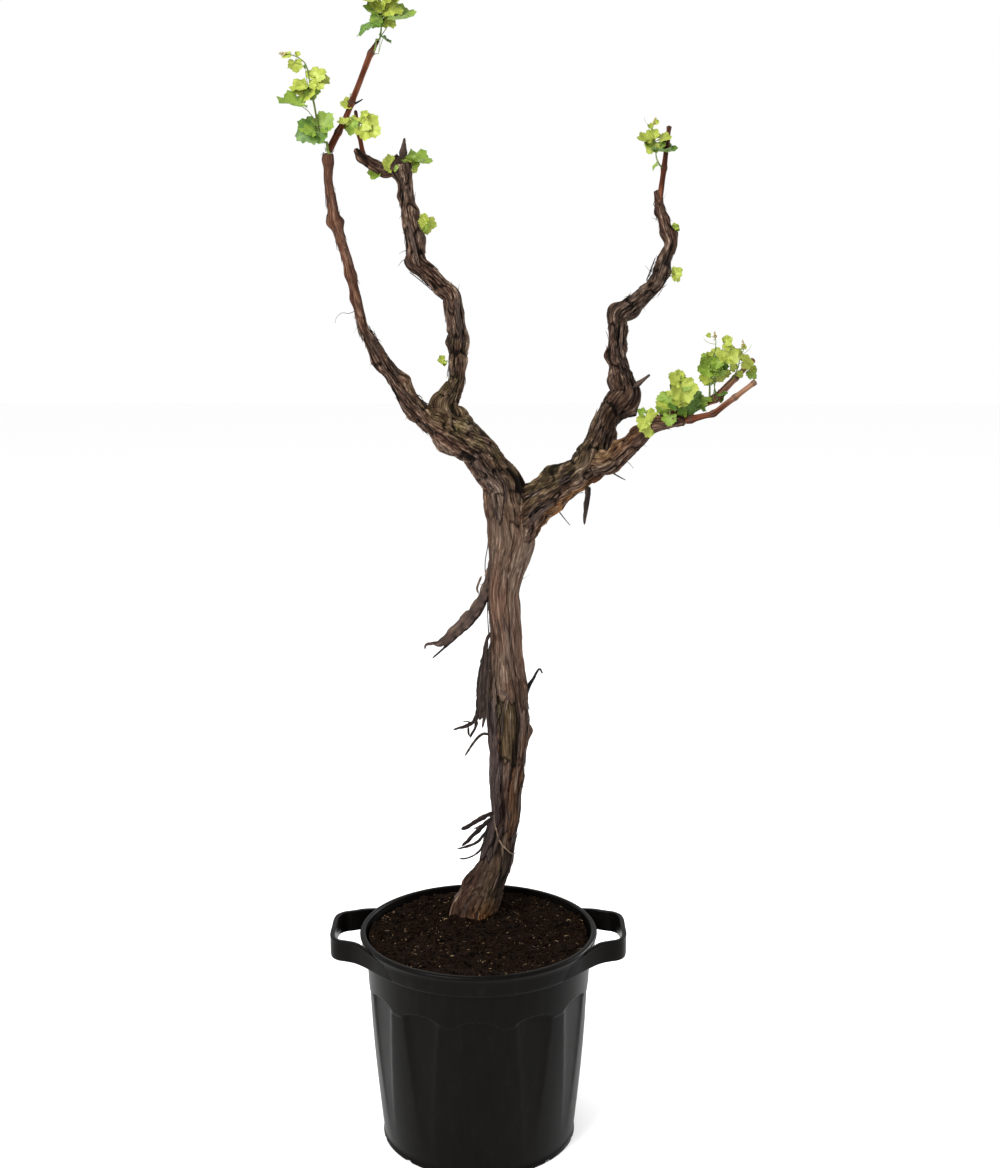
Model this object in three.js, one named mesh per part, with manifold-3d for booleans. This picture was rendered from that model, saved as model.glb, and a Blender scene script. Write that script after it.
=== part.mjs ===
// An old bush vine in a nursery pot: a round moulded pot with two grips, its potting soil, a gnarled
// trunk that forks into knotty boughs, pruned canes and stubs, strips of loose bark, and the masses
// of young leaves. Millimetres, +Z up, +X to the right and +Y to the back. The origin is the centre
// of the pot's flat underside.
import * as THREE from "three";
import { mergeVertices } from "three/addons/utils/BufferGeometryUtils.js";
import Module from "manifold-3d";

const wasm = await Module();
wasm.setup();

// Driving dimensions.
const touchGap = 0.3; // between pieces that meet
const pot = {
  height: 367,
  rimRadius: 200,
  rimTopInner: 190,
  lipDepth: 36,
  shoulderRadius: 188.5, // wall under the lip
  footRadius: 162.5, // wall above the base ring
  bulge: 4, // how far the wall's side is proud of a straight taper halfway up
  baseRing: { radius: 164.5, height: 6 },
  wall: 3,
  floor: 5,
  sides: 48,
};
const flutes = { count: 12, depth: 5, halfAngle: 10.5, low: 36, high: 284, arch: 14 };
const drainNotch = { width: 13, height: 5, cut: 4 };
const grip = { reach: 48, halfWidth: 62, rootAngle: 34, band: 7, height: 36, lift: 3 };
const soilTop = 344;

const radians = THREE.MathUtils.degToRad;

// ---------------------------------------------------------------- solids
// A closed geometry as a solid: only its positions count, so that shared corners merge.
function solidOf(geometry) {
  const bare = geometry.clone();
  bare.deleteAttribute("normal");
  bare.deleteAttribute("uv");
  const merged = mergeVertices(bare, 1e-3);
  return new wasm.Manifold(
    new wasm.Mesh({
      numProp: 3,
      vertProperties: merged.attributes.position.array,
      triVerts: new Uint32Array(merged.index.array),
    }),
  );
}

// The largest body of a solid, without needless corners, as a geometry with flat faces.
function geometryOf(solid) {
  const body = solid.decompose().reduce((best, next) => (next.volume() > best.volume() ? next : best));
  const made = body.simplify(0.12).getMesh();
  return new THREE.BufferGeometry()
    .setAttribute("position", new THREE.BufferAttribute(made.vertProperties, 3))
    .setIndex(new THREE.BufferAttribute(made.triVerts, 1))
    .toNonIndexed();
}

// ---------------------------------------------------------------- pot and soil
// How far a flute sinks into the wall: a scoop with an arched top that fades out towards the foot.
function fluteDepth(angle, z) {
  const step = (2 * Math.PI) / flutes.count;
  const off = Math.abs(angle - step * Math.round(angle / step));
  const climb = (z - flutes.low) / (flutes.high - flutes.low);
  if (climb <= 0 || climb >= 1) return 0;
  const half = radians(flutes.halfAngle) * (0.25 + 0.75 * climb);
  const across = Math.max(0, 1 - (off / half) ** 2);
  const underArch = Math.min(1, (flutes.high - z) / flutes.arch);
  return flutes.depth * climb * Math.sqrt(across) * Math.sqrt(underArch);
}

function wallRadius(z) {
  const share = (z - pot.baseRing.height) / (pot.height - pot.lipDepth - pot.baseRing.height);
  return pot.footRadius + (pot.shoulderRadius - pot.footRadius) * share + 4 * pot.bulge * share * (1 - share);
}

const wallLevels = [20, 105, 200, 270, 281, 285];

function lathe(profile) {
  const turned = new THREE.LatheGeometry(profile.map(([r, z]) => new THREE.Vector2(r, z)), pot.sides);
  turned.rotateX(Math.PI / 2);
  const place = turned.getAttribute("position");
  for (let i = 0; i < place.count; i++) {
    const [x, y, z] = [place.getX(i), place.getY(i), place.getZ(i)];
    const radius = Math.hypot(x, y);
    if (radius < pot.footRadius / 2) continue;
    const scale = (radius - fluteDepth(Math.atan2(x, -y), z)) / radius;
    place.setXYZ(i, x * scale, y * scale, z);
  }
  return turned;
}

// The room inside the wall and lip, drawn in by an amount all round.
function roomSolid(inset) {
  const { height, rimTopInner, lipDepth, floor } = pot;
  const wall = pot.wall + inset;
  const lipFoot = height - lipDepth;
  const profile = [
    [0, floor + inset],
    [wallRadius(0) - wall - 6, floor + inset],
    ...wallLevels.map((z) => [wallRadius(z) - wall, z]),
    [wallRadius(lipFoot) - wall, lipFoot],
    [rimTopInner - inset, height],
    [rimTopInner - inset, height + 1],
    [0, height + 1],
  ];
  return solidOf(lathe(profile));
}

function potGeometry() {
  const { height, rimRadius, lipDepth, baseRing } = pot;
  const lipFoot = height - lipDepth;
  const profile = [
    [0, 0],
    [baseRing.radius - 3, 0],
    [baseRing.radius, 3],
    [baseRing.radius, baseRing.height],
    ...wallLevels.map((z) => [wallRadius(z), z]),
    [wallRadius(lipFoot), lipFoot],
    [rimRadius - 4, lipFoot],
    [rimRadius, height - 8],
    [rimRadius - 3, height],
    [0, height],
  ];
  let body = solidOf(lathe(profile)).subtract(roomSolid(0));
  for (let i = 0; i < flutes.count; i++) {
    const notch = new THREE.CylinderGeometry(drainNotch.width / 2, drainNotch.width / 2, 12, 8);
    notch.scale(1, 1, (2 * drainNotch.height) / drainNotch.width);
    notch.translate(0, baseRing.radius - drainNotch.cut + 6, 0);
    notch.rotateZ(((i + 0.5) * 2 * Math.PI) / flutes.count);
    body = body.subtract(solidOf(notch));
  }
  return geometryOf(body);
}

// The soil fills that room up to its level.
function soilGeometry() {
  return geometryOf(roomSolid(touchGap).trimByPlane([0, 0, -1], -soilTop));
}

// A grip is a band bent into a loop that stands out from the lip, open between band and lip.
function gripGeometry() {
  const { reach, halfWidth, rootAngle, band, height, lift } = grip;
  const far = pot.rimRadius + reach;
  const root = [pot.rimRadius * Math.cos(radians(rootAngle)), pot.rimRadius * Math.sin(radians(rootAngle))];
  const loop = new THREE.Shape();
  loop.moveTo(root[0] - 8, -root[1]);
  loop.lineTo(root[0], -root[1]);
  loop.bezierCurveTo(root[0] + 26, -root[1] + 32, root[0] + 34, -halfWidth - 3, far - 24, -halfWidth);
  loop.quadraticCurveTo(far - 1, -halfWidth + 2, far, -halfWidth + 27);
  loop.lineTo(far, halfWidth - 27);
  loop.quadraticCurveTo(far - 1, halfWidth - 2, far - 24, halfWidth);
  loop.bezierCurveTo(root[0] + 34, halfWidth + 3, root[0] + 26, root[1] - 32, root[0], root[1]);
  loop.lineTo(root[0] - 8, root[1]);
  const inner = halfWidth - band;
  const hole = new THREE.Path();
  hole.moveTo(pot.rimRadius - 20, -inner);
  hole.lineTo(far - 26, -inner);
  hole.quadraticCurveTo(far - band - 1, -inner + 2, far - band, -inner + 22);
  hole.lineTo(far - band, inner - 22);
  hole.quadraticCurveTo(far - band - 1, inner - 2, far - 26, inner);
  hole.lineTo(pot.rimRadius - 20, inner);
  loop.holes.push(hole);
  const edge = { bevelThickness: 2, bevelSize: 2, bevelOffset: -2, bevelSegments: 1, curveSegments: 4 };
  const made = new THREE.ExtrudeGeometry(loop, { depth: height - 4, ...edge });
  made.translate(0, 0, pot.height + lift - height + 2);
  const lipRadius = pot.rimRadius + touchGap;
  const lip = new THREE.CylinderGeometry(lipRadius, lipRadius, 2 * height, pot.sides);
  lip.rotateX(Math.PI / 2);
  lip.rotateZ(Math.PI / 2);
  lip.translate(0, 0, pot.height);
  return geometryOf(solidOf(made).subtract(solidOf(lip)));
}

// ---------------------------------------------------------------- limbs
// A limb grows from a bend of its parent. Each bend is [run to it, lean from plumb towards +X in
// degrees, swing towards +Y in degrees, diameter there]. Old wood has ribs round its section.
const limbs = {
  trunk: {
    start: [-8, 117, 308],
    foot: 88,
    bends: [
      [48, 5, -2, 84],
      [92, 14, -5, 63],
      [93, 18, -5, 51],
      [112, 2, -5, 68],
      [78, 2, -4, 78],
      [112, -2, -5, 60],
      [102, -4, -6, 54],
      [91, 7, -7, 64],
      [56, 2, -6, 62],
    ],
    ribs: 0.09,
    sides: 14,
  },
  bough_left: {
    grows: ["trunk", 8],
    foot: 50,
    bends: [
      [103, -8, -8, 58],
      [65, -37, -11, 52],
      [52, -60, -15, 42],
      [45, -55, -15, 33],
      [40, -41, -18, 30],
    ],
    ribs: 0.08,
    sides: 12,
  },
  bough_left_outer: {
    grows: ["bough_left", 4],
    foot: 27,
    bends: [
      [46, -40, -18, 28],
      [82, -33, -17, 23],
      [56, -27, -15, 17],
      [110, -12, -9, 15],
      [59, -16, -10, 18],
      [59, -7, -10, 13.5],
      [40, 2, -7, 16],
    ],
    ribs: 0.06,
    sides: 10,
  },
  cane_left: {
    grows: ["bough_left_outer", 7],
    foot: 11,
    bends: [
      [59, 27, 10, 10.5],
      [100, 22, 8, 11.5],
      [24, 29, 14, 8],
    ],
    ribs: 0.03,
    sides: 7,
  },
  bough_left_inner: {
    grows: ["bough_left", 3],
    foot: 34,
    bends: [
      [48, -7, 10, 37],
      [41, 25, 25, 27],
      [71, 2, 18, 25],
      [72, -10, 15, 27],
      [77, -44, 10, 29],
      [77, -11, 9, 24],
      [83, -7, 6, 22],
    ],
    ribs: 0.09,
    sides: 12,
  },
  spur_left: {
    grows: ["bough_left_inner", 7],
    foot: 20,
    bends: [
      [32, -118, -12, 19],
      [42, -58, -19, 14.5],
      [20, -44, -17, 8],
    ],
    ribs: 0.08,
    sides: 10,
  },
  twig_left: {
    grows: ["spur_left", 2],
    foot: 8,
    bends: [
      [35, -9, 0, 7],
      [40, -9, 3, 5],
    ],
    ribs: 0.03,
    sides: 7,
  },
  stub_left: {
    grows: ["bough_left_inner", 7],
    foot: 13,
    bends: [
      [20, 6, -9, 11],
      [19, 6, -9, 4],
    ],
    ribs: 0.03,
    sides: 7,
  },
  bough_right: {
    grows: ["trunk", 8],
    foot: 46,
    bends: [
      [82, 37, -12, 58],
      [66, 52, -13, 50],
      [42, 51, -14, 40],
    ],
    ribs: 0.09,
    sides: 12,
  },
  bough_right_upper: {
    grows: ["bough_right", 3],
    foot: 36,
    bends: [
      [73, 19, 16, 38],
      [55, 36, 16, 41],
      [67, -11, 17, 29],
      [62, 3, 16, 29],
      [79, 50, 12, 27],
      [71, 22, 11, 20],
      [68, -16, 10, 16],
      [24, -9, 10, 11],
    ],
    ribs: 0.09,
    sides: 12,
  },
  cane_right: {
    grows: ["bough_right_upper", 7],
    foot: 10,
    bends: [
      [63, 7, 3, 8.5],
      [62, 6, -2, 6.5],
    ],
    ribs: 0.03,
    sides: 7,
  },
  stub_right: {
    grows: ["bough_right_upper", 2],
    foot: 8,
    bends: [[54, 50, -17, 5]],
    ribs: 0.03,
    sides: 7,
  },
  bough_right_lower: {
    grows: ["bough_right", 3],
    foot: 30,
    bends: [
      [45, 71, -46, 30],
      [65, 45, -25, 26],
      [35, 43, -26, 23],
      [52, 83, -29, 13],
    ],
    ribs: 0.08,
    sides: 12,
  },
  cane_right_low: {
    grows: ["bough_right_lower", 4],
    foot: 10,
    bends: [
      [46, 73, -23, 9],
      [82, 50, -15, 7.5],
    ],
    ribs: 0.03,
    sides: 7,
  },
  cane_right_high: {
    grows: ["bough_right_lower", 3],
    foot: 15,
    bends: [
      [58, 68, -10, 15],
      [46, 69, 17, 12],
      [88, 46, 13, 7.5],
    ],
    ribs: 0.04,
    sides: 7,
  },
};

// Strips of bark that have come away and hang, each a thin ribbon held at its upper end.
const barkStrips = {
  bark_strip_upper: {
    start: [20, 62, 985],
    foot: 9,
    bends: [
      [40, -6, -8, 16],
      [36, -22, -6, 25],
      [45, -42, -4, 29],
      [53, -54, -2, 19],
    ],
  },
  bark_strip_middle: {
    start: [20, 62, 862],
    foot: 7,
    bends: [
      [18, -30, -14, 12],
      [50, -5, -3, 18],
      [46, -8, -3, 21],
      [42, -27, -3, 9],
    ],
  },
  bark_strip_lower: {
    start: [26, 84, 527],
    foot: 9,
    bends: [
      [26, -66, -6, 17],
      [30, -52, -4, 20],
      [20, -40, -4, 9],
    ],
  },
  bark_strip_right: {
    start: [176, 8, 1112],
    foot: 6,
    bends: [
      [30, -2, -2, 8],
      [28, -1, -2, 5],
    ],
  },
};
const stripThickness = 3;

// The points of a walk: start, then one point a bend. Hanging things walk downwards.
function walk(start, bends, down = false) {
  const points = [new THREE.Vector3(...start)];
  for (const [run, lean, swing] of bends) {
    const [a, b] = [radians(lean), radians(swing)];
    const step = new THREE.Vector3(Math.cos(b) * Math.sin(a), Math.sin(b), Math.cos(b) * Math.cos(a));
    if (down) step.z = -step.z;
    points.push(points.at(-1).clone().addScaledVector(step, run));
  }
  return points;
}

// A cylinder bent along the points. sectionAt(share, angle) gives half the width and half the depth.
function bentCylinder(points, sides, ringStep, sectionAt, grow) {
  const line = new THREE.CatmullRomCurve3(points, false, "centripetal");
  const rings = Math.max(2, Math.round(line.getLength() / ringStep));
  const shape = new THREE.CylinderGeometry(1, 1, 1, sides, rings);
  const place = shape.getAttribute("position");
  const back = new THREE.Vector3(0, 1, 0);
  for (let i = 0; i < place.count; i++) {
    const [x, z] = [place.getX(i), place.getZ(i)];
    const u = Math.min(1, Math.max(0, place.getY(i) + 0.5));
    const share = line.getUtoTmapping(u);
    const along = line.getTangent(share);
    const deep = back.clone().addScaledVector(along, -along.dot(back)).normalize();
    const wide = new THREE.Vector3().crossVectors(deep, along);
    const [halfWide, halfDeep] = sectionAt(share, Math.atan2(z, x));
    const at = line
      .getPoint(share)
      .addScaledVector(deep, x * (halfDeep + grow))
      .addScaledVector(wide, z * (halfWide + grow));
    if (u === 0) at.addScaledVector(along, -grow);
    if (u === 1) at.addScaledVector(along, grow);
    place.setXYZ(i, at.x, at.y, at.z);
  }
  return shape;
}

// The diameter at a share of the way along, eased between the bends.
function diameterAt(spec, share) {
  const sizes = [spec.foot, ...spec.bends.map((bend) => bend[3])];
  const at = share * (sizes.length - 1);
  const low = Math.min(Math.floor(at), sizes.length - 2);
  const ease = THREE.MathUtils.smoothstep(at - low, 0, 1);
  return sizes[low] + (sizes[low + 1] - sizes[low]) * ease;
}

const bendPoints = {};

function limbSolid(name, grow) {
  const spec = limbs[name];
  const section = (share, angle) => {
    const ribs = 0.6 * Math.sin(3 * angle + 5 * share) + 0.4 * Math.sin(5 * angle - 9 * share);
    const half = (diameterAt(spec, share) / 2) * (1 + spec.ribs * ribs);
    return [half, half];
  };
  return solidOf(bentCylinder(bendPoints[name], spec.sides, 3 * spec.sides, section, grow));
}

function stripGeometry(spec) {
  const section = (share) => [diameterAt(spec, share) / 2, stripThickness / 2];
  return bentCylinder(walk(spec.start, spec.bends, true), 8, 20, section, 0);
}

// ---------------------------------------------------------------- leaves
// Each mass: its middle, its size across, deep and high, and the seed of its lumps.
const leafMasses = {
  leaves_left_top: { middle: [-127, -66, 1842], size: [86, 80, 96], seed: 3 },
  leaves_left_side: { middle: [-246, -108, 1712], size: [100, 92, 134], seed: 5 },
  leaves_left_middle: { middle: [-168, -90, 1678], size: [64, 60, 54], seed: 8 },
  leaves_inner_top: { middle: [-96, 96, 1640], size: [58, 58, 46], seed: 11 },
  leaves_inner_spur: { middle: [-154, 92, 1610], size: [56, 58, 54], seed: 13 },
  leaves_inner_middle: { middle: [-86, 88, 1531], size: [34, 34, 42], seed: 17 },
  leaves_inner_low: { middle: [-51, 50, 1331], size: [34, 32, 38], seed: 19 },
  leaves_right_top: { middle: [286, 118, 1660], size: [76, 72, 86], seed: 23 },
  leaves_right_knot: { middle: [318, 116, 1531], size: [24, 26, 30], seed: 27 },
  leaves_right_bend: { middle: [334, 100, 1455], size: [34, 30, 36], seed: 29 },
  leaves_right_low: { middle: [300, -84, 1260], size: [92, 96, 112], seed: 31 },
  leaves_right_high: { middle: [386, -68, 1320], size: [96, 92, 108], seed: 37 },
};

function randomFrom(seed) {
  let state = seed * 2654435761;
  return () => {
    state = (state * 1664525 + 1013904223) >>> 0;
    return state / 4294967296;
  };
}

// A ball swollen into lumps in seeded directions, then stretched so that it fills its size.
function leafSolid({ middle, size, seed }) {
  const random = randomFrom(seed);
  const lumps = Array.from({ length: 9 }, () => {
    const turn = 2 * Math.PI * random();
    const rise = 2 * random() - 1;
    const flat = Math.sqrt(1 - rise * rise);
    return new THREE.Vector3(flat * Math.cos(turn), flat * Math.sin(turn), rise);
  });
  const ball = new THREE.IcosahedronGeometry(1, 2);
  const place = ball.getAttribute("position");
  const at = new THREE.Vector3();
  for (let i = 0; i < place.count; i++) {
    at.fromBufferAttribute(place, i).normalize();
    const swell = lumps.reduce((sum, lump) => sum + 0.5 * Math.max(0, at.dot(lump)) ** 6, 0);
    at.multiplyScalar(0.7 + swell);
    place.setXYZ(i, at.x, at.y, at.z);
  }
  ball.computeBoundingBox();
  const extent = ball.boundingBox.getSize(new THREE.Vector3());
  const centre = ball.boundingBox.getCenter(new THREE.Vector3());
  ball.translate(-centre.x, -centre.y, -centre.z);
  ball.scale(size[0] / extent.x, size[1] / extent.y, size[2] / extent.z);
  ball.translate(...middle);
  return solidOf(ball);
}

// ---------------------------------------------------------------- assembly
const finishes = {
  pot: new THREE.MeshStandardMaterial({ color: 0x1b1a1b, roughness: 0.42 }),
  soil: new THREE.MeshStandardMaterial({ color: 0x22140d, roughness: 1 }),
  oldBark: new THREE.MeshStandardMaterial({ color: 0x4e3b2f, roughness: 0.95 }),
  cane: new THREE.MeshStandardMaterial({ color: 0x7a3f22, roughness: 0.7 }),
  looseBark: new THREE.MeshStandardMaterial({ color: 0x3a2d27, roughness: 0.95 }),
  leaf: new THREE.MeshStandardMaterial({ color: 0xa4c02c, roughness: 0.6 }),
};

const vine = new THREE.Group();

function add(name, geometry, finish) {
  const mesh = new THREE.Mesh(geometry, finish);
  mesh.name = name;
  vine.add(mesh);
  return mesh;
}

add("pot", potGeometry(), finishes.pot);
add("grip_right", gripGeometry(), finishes.pot);
add("grip_left", gripGeometry(), finishes.pot).rotation.z = Math.PI;
add("soil", soilGeometry(), finishes.soil);

// Each limb is cut clear of the limbs made before it, so that it starts on their bark.
const wood = [];
for (const [name, spec] of Object.entries(limbs)) {
  const start = spec.start ?? bendPoints[spec.grows[0]][spec.grows[1]].toArray();
  bendPoints[name] = walk(start, spec.bends);
  let made = limbSolid(name, 0);
  let grown = limbSolid(name, touchGap);
  if (!spec.grows) {
    made = made.trimByPlane([0, 0, 1], soilTop + touchGap);
    grown = grown.trimByPlane([0, 0, 1], soilTop);
  }
  for (const earlier of wood) made = made.subtract(earlier);
  wood.push(grown);
  const young = name.startsWith("cane") || name === "bough_left_outer";
  add(name, geometryOf(made), young ? finishes.cane : finishes.oldBark);
}

for (const [name, spec] of Object.entries(barkStrips)) {
  let made = solidOf(stripGeometry(spec));
  for (const limb of wood) made = made.subtract(limb);
  add(name, geometryOf(made), finishes.looseBark);
}

// Masses are cut round the wood, and round each other where two meet.
const cleared = [...wood];
for (const [name, spec] of Object.entries(leafMasses)) {
  let made = leafSolid(spec);
  for (const other of cleared) made = made.subtract(other);
  const { middle, size, seed } = spec;
  cleared.push(leafSolid({ middle, size: size.map((side) => side + 2 * touchGap), seed }));
  add(name, geometryOf(made), finishes.leaf);
}

export default vine;
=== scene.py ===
# An old bush vine in a black nursery pot, with shaggy bark, pruned canes and young leaves
import math
import random

import bmesh
import bpy
import numpy as np
from mathutils import Matrix, Vector


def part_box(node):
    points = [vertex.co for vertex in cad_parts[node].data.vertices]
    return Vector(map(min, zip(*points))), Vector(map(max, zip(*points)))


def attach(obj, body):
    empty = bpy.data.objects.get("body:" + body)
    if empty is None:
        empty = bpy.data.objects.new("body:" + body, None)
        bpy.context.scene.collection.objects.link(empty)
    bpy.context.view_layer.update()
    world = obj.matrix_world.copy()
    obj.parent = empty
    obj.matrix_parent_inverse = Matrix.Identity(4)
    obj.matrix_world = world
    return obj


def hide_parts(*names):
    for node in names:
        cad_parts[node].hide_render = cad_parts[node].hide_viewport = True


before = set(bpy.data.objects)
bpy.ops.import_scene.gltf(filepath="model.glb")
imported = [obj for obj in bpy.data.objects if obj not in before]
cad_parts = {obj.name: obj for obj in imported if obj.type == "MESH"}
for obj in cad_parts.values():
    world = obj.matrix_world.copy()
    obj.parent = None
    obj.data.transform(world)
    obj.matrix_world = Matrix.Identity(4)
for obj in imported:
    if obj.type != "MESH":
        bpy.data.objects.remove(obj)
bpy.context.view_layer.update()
mm = 0.001
tau = 2 * math.pi

# camera and light
viewSetup = {
    "place": (0.0362, -2.635, 1.4866),
    "pitchDown": 11.32,  # degrees
    "lens": 51.08,
    "sensor": 36,
    "floorHalf": 14.0,  # metres
    "worldLight": 1.0,
    "aim": (0, 0, 0.8),  # where the lamps look
    "lamps": [  # name, place, size in metres, power in watts
        ("key", (-2.0, -2.4, 3.2), 2.1, 190),
        ("rightRim", (2.5, 1.7, 1.1), 0.9, 84),
        ("leftRim", (-2.6, 1.4, 1.2), 0.8, 7),
    ],
}


def makeView():
    camera = bpy.data.objects.new("camera", bpy.data.cameras.new("camera"))
    camera.data.lens = viewSetup["lens"]
    camera.data.sensor_width = viewSetup["sensor"]
    camera.location = viewSetup["place"]
    camera.rotation_euler = (math.radians(90 - viewSetup["pitchDown"]), 0, 0)
    bpy.context.scene.collection.objects.link(camera)
    bpy.context.scene.camera = camera
    bpy.context.scene.view_settings.view_transform = "Standard"

    world = bpy.data.worlds.new("world")
    world.use_nodes = True
    sky = world.node_tree.nodes["Background"]
    sky.inputs["Color"].default_value = (1.0, 1.0, 1.0, 1)
    sky.inputs["Strength"].default_value = viewSetup["worldLight"]
    bpy.context.scene.world = world

    for name, place, size, power in viewSetup["lamps"]:
        lamp = bpy.data.objects.new(name, bpy.data.lights.new(name, "AREA"))
        lamp.data.size = size
        lamp.data.energy = power
        lamp.location = place
        lamp.rotation_euler = (Vector(viewSetup["aim"]) - Vector(place)).to_track_quat("-Z", "Y").to_euler()
        bpy.context.scene.collection.objects.link(lamp)

    shape = bmesh.new()
    bmesh.ops.create_grid(shape, x_segments=1, y_segments=1, size=viewSetup["floorHalf"])
    mesh = bpy.data.meshes.new("floor")
    shape.to_mesh(mesh)
    shape.free()
    floor = bpy.data.objects.new("floor", mesh)
    bpy.context.scene.collection.objects.link(floor)
    mesh.materials.append(plainFinish("floorFinish", (0.975, 0.975, 0.975), 0.9, 0.1))


# material helpers
def addNode(tree, kind, settings=None, **inputs):
    # an input is named by its socket, with _ for a space, or by its number, as in _0
    node = tree.nodes.new("ShaderNode" + kind)
    for key, value in (settings or {}).items():
        setattr(node, key, value)
    for key, value in inputs.items():
        label = key.replace("_", " ")
        socket = node.inputs[label] if label in node.inputs else node.inputs[int(key[1:])]
        if isinstance(value, bpy.types.NodeSocket):
            tree.links.new(value, socket)
        else:
            socket.default_value = value
    return node


def rampOf(tree, factor, stops):
    node = addNode(tree, "ValToRGB", Fac=factor)
    ramp = node.color_ramp
    while len(ramp.elements) < len(stops):
        ramp.elements.new(0.5)
    for element, (spot, colour) in zip(ramp.elements, stops):
        element.position = spot
        element.color = (*colour, 1)
    return node.outputs["Color"]


def mixOf(tree, factor, first, second):
    node = addNode(tree, "Mix", {"data_type": "RGBA"})
    for index, value in ((0, factor), (6, first), (7, second)):
        if isinstance(value, bpy.types.NodeSocket):
            tree.links.new(value, node.inputs[index])
        elif index == 0:
            node.inputs[index].default_value = value
        else:
            node.inputs[index].default_value = (*value, 1)
    return node.outputs[2]


def stretched(tree, vector, scale):
    return addNode(tree, "Mapping", Vector=vector, Scale=scale).outputs[0]


def noiseOf(tree, vector, scale, detail=3.0, rough=0.55):
    return addNode(tree, "TexNoise", Vector=vector, Scale=scale, Detail=detail, Roughness=rough).outputs[0]


def startFinish(name, roughness, specular=0.5):
    material = bpy.data.materials.new(name)
    material.use_nodes = True
    shader = material.node_tree.nodes["Principled BSDF"]
    shader.inputs["Roughness"].default_value = roughness
    shader.inputs["Specular IOR Level"].default_value = specular
    return material, material.node_tree, shader


def plainFinish(name, colour, roughness, specular=0.5):
    material, _, shader = startFinish(name, roughness, specular)
    shader.inputs["Base Color"].default_value = (*colour, 1)
    return material


def weightedSum(tree, value, weight, rest):
    return addNode(tree, "Math", {"operation": "MULTIPLY_ADD"}, _0=value, _1=weight, _2=rest).outputs[0]


def bumpInto(tree, shader, height, strength, distance):
    bump = addNode(tree, "Bump", Height=height, Strength=strength, Distance=distance)
    tree.links.new(bump.outputs[0], shader.inputs["Normal"])


# mesh helpers
def finishPiece(name, mesh, materials, smooth=True):
    piece = bpy.data.objects.new(name, mesh)
    bpy.context.scene.collection.objects.link(piece)
    for material in materials:
        mesh.materials.append(material)
    if smooth:
        mesh.shade_smooth()
    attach(piece, "root")
    return piece


def gridMesh(name, around, along):
    shape = bmesh.new()
    bmesh.ops.create_grid(shape, x_segments=around, y_segments=along, size=1.0)
    mesh = bpy.data.meshes.new(name)
    shape.to_mesh(mesh)
    shape.free()
    return mesh


def pointsOf(mesh):
    flat = np.empty(len(mesh.vertices) * 3)
    mesh.vertices.foreach_get("co", flat)
    return flat.reshape(-1, 3)


def setPoints(mesh, points):
    mesh.vertices.foreach_set("co", np.ascontiguousarray(points, dtype=np.float32).ravel())
    mesh.update()


def storeValue(mesh, name, values):
    kind = "FLOAT" if values.ndim == 1 else "FLOAT_VECTOR"
    field = mesh.attributes.new(name, kind, "POINT")
    field.data.foreach_set("value" if values.ndim == 1 else "vector", values.astype(np.float32).ravel())


def weld(mesh, reach=2e-5):
    shape = bmesh.new()
    shape.from_mesh(mesh)
    bmesh.ops.remove_doubles(shape, verts=shape.verts, dist=reach)
    bmesh.ops.dissolve_degenerate(shape, edges=shape.edges, dist=1e-7)
    bmesh.ops.recalc_face_normals(shape, faces=shape.faces)
    shape.to_mesh(mesh)
    shape.free()


def joined(name, meshes):
    shape = bmesh.new()
    for mesh in meshes:
        shape.from_mesh(mesh)
    whole = bpy.data.meshes.new(name)
    shape.to_mesh(whole)
    shape.free()
    for mesh in meshes:
        bpy.data.meshes.remove(mesh)
    return whole


def copiesOf(name, template, matrices):
    # one mesh from many placed copies of a small one
    shape = bmesh.new()
    for matrix in matrices:
        shape.from_mesh(template, face_normals=False, vertex_normals=False)
        shape.verts.ensure_lookup_table()
        bmesh.ops.transform(shape, matrix=matrix, verts=shape.verts[-len(template.vertices):])
    whole = bpy.data.meshes.new(name)
    shape.to_mesh(whole)
    shape.free()
    return whole


def cellValue(cell, seed):
    mixed = cell[:, 0] * 374761393 + cell[:, 1] * 668265263 + cell[:, 2] * 1440662683 + seed * 1013904223
    mixed = (mixed ^ (mixed >> 13)) * 1274126177
    return ((mixed ^ (mixed >> 16)) & 0xFFFFFF) / 0x7FFFFF - 1.0


def noiseAt(points, seed=0):
    # smooth noise, about -1 to 1, at each row of points
    cell = np.floor(points).astype(np.int64)
    part = points - cell
    ease = part * part * part * (part * (part * 6 - 15) + 10)
    total = np.zeros(len(points))
    for corner in range(8):
        step = np.array([corner & 1, corner >> 1 & 1, corner >> 2 & 1])
        weight = np.prod(np.where(step == 1, ease, 1 - ease), axis=1)
        total += weight * cellValue(cell + step, seed)
    return total


def smoothStep(value, low, high):
    share = np.clip((value - low) / (high - low), 0, 1)
    return share * share * (3 - 2 * share)


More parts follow.
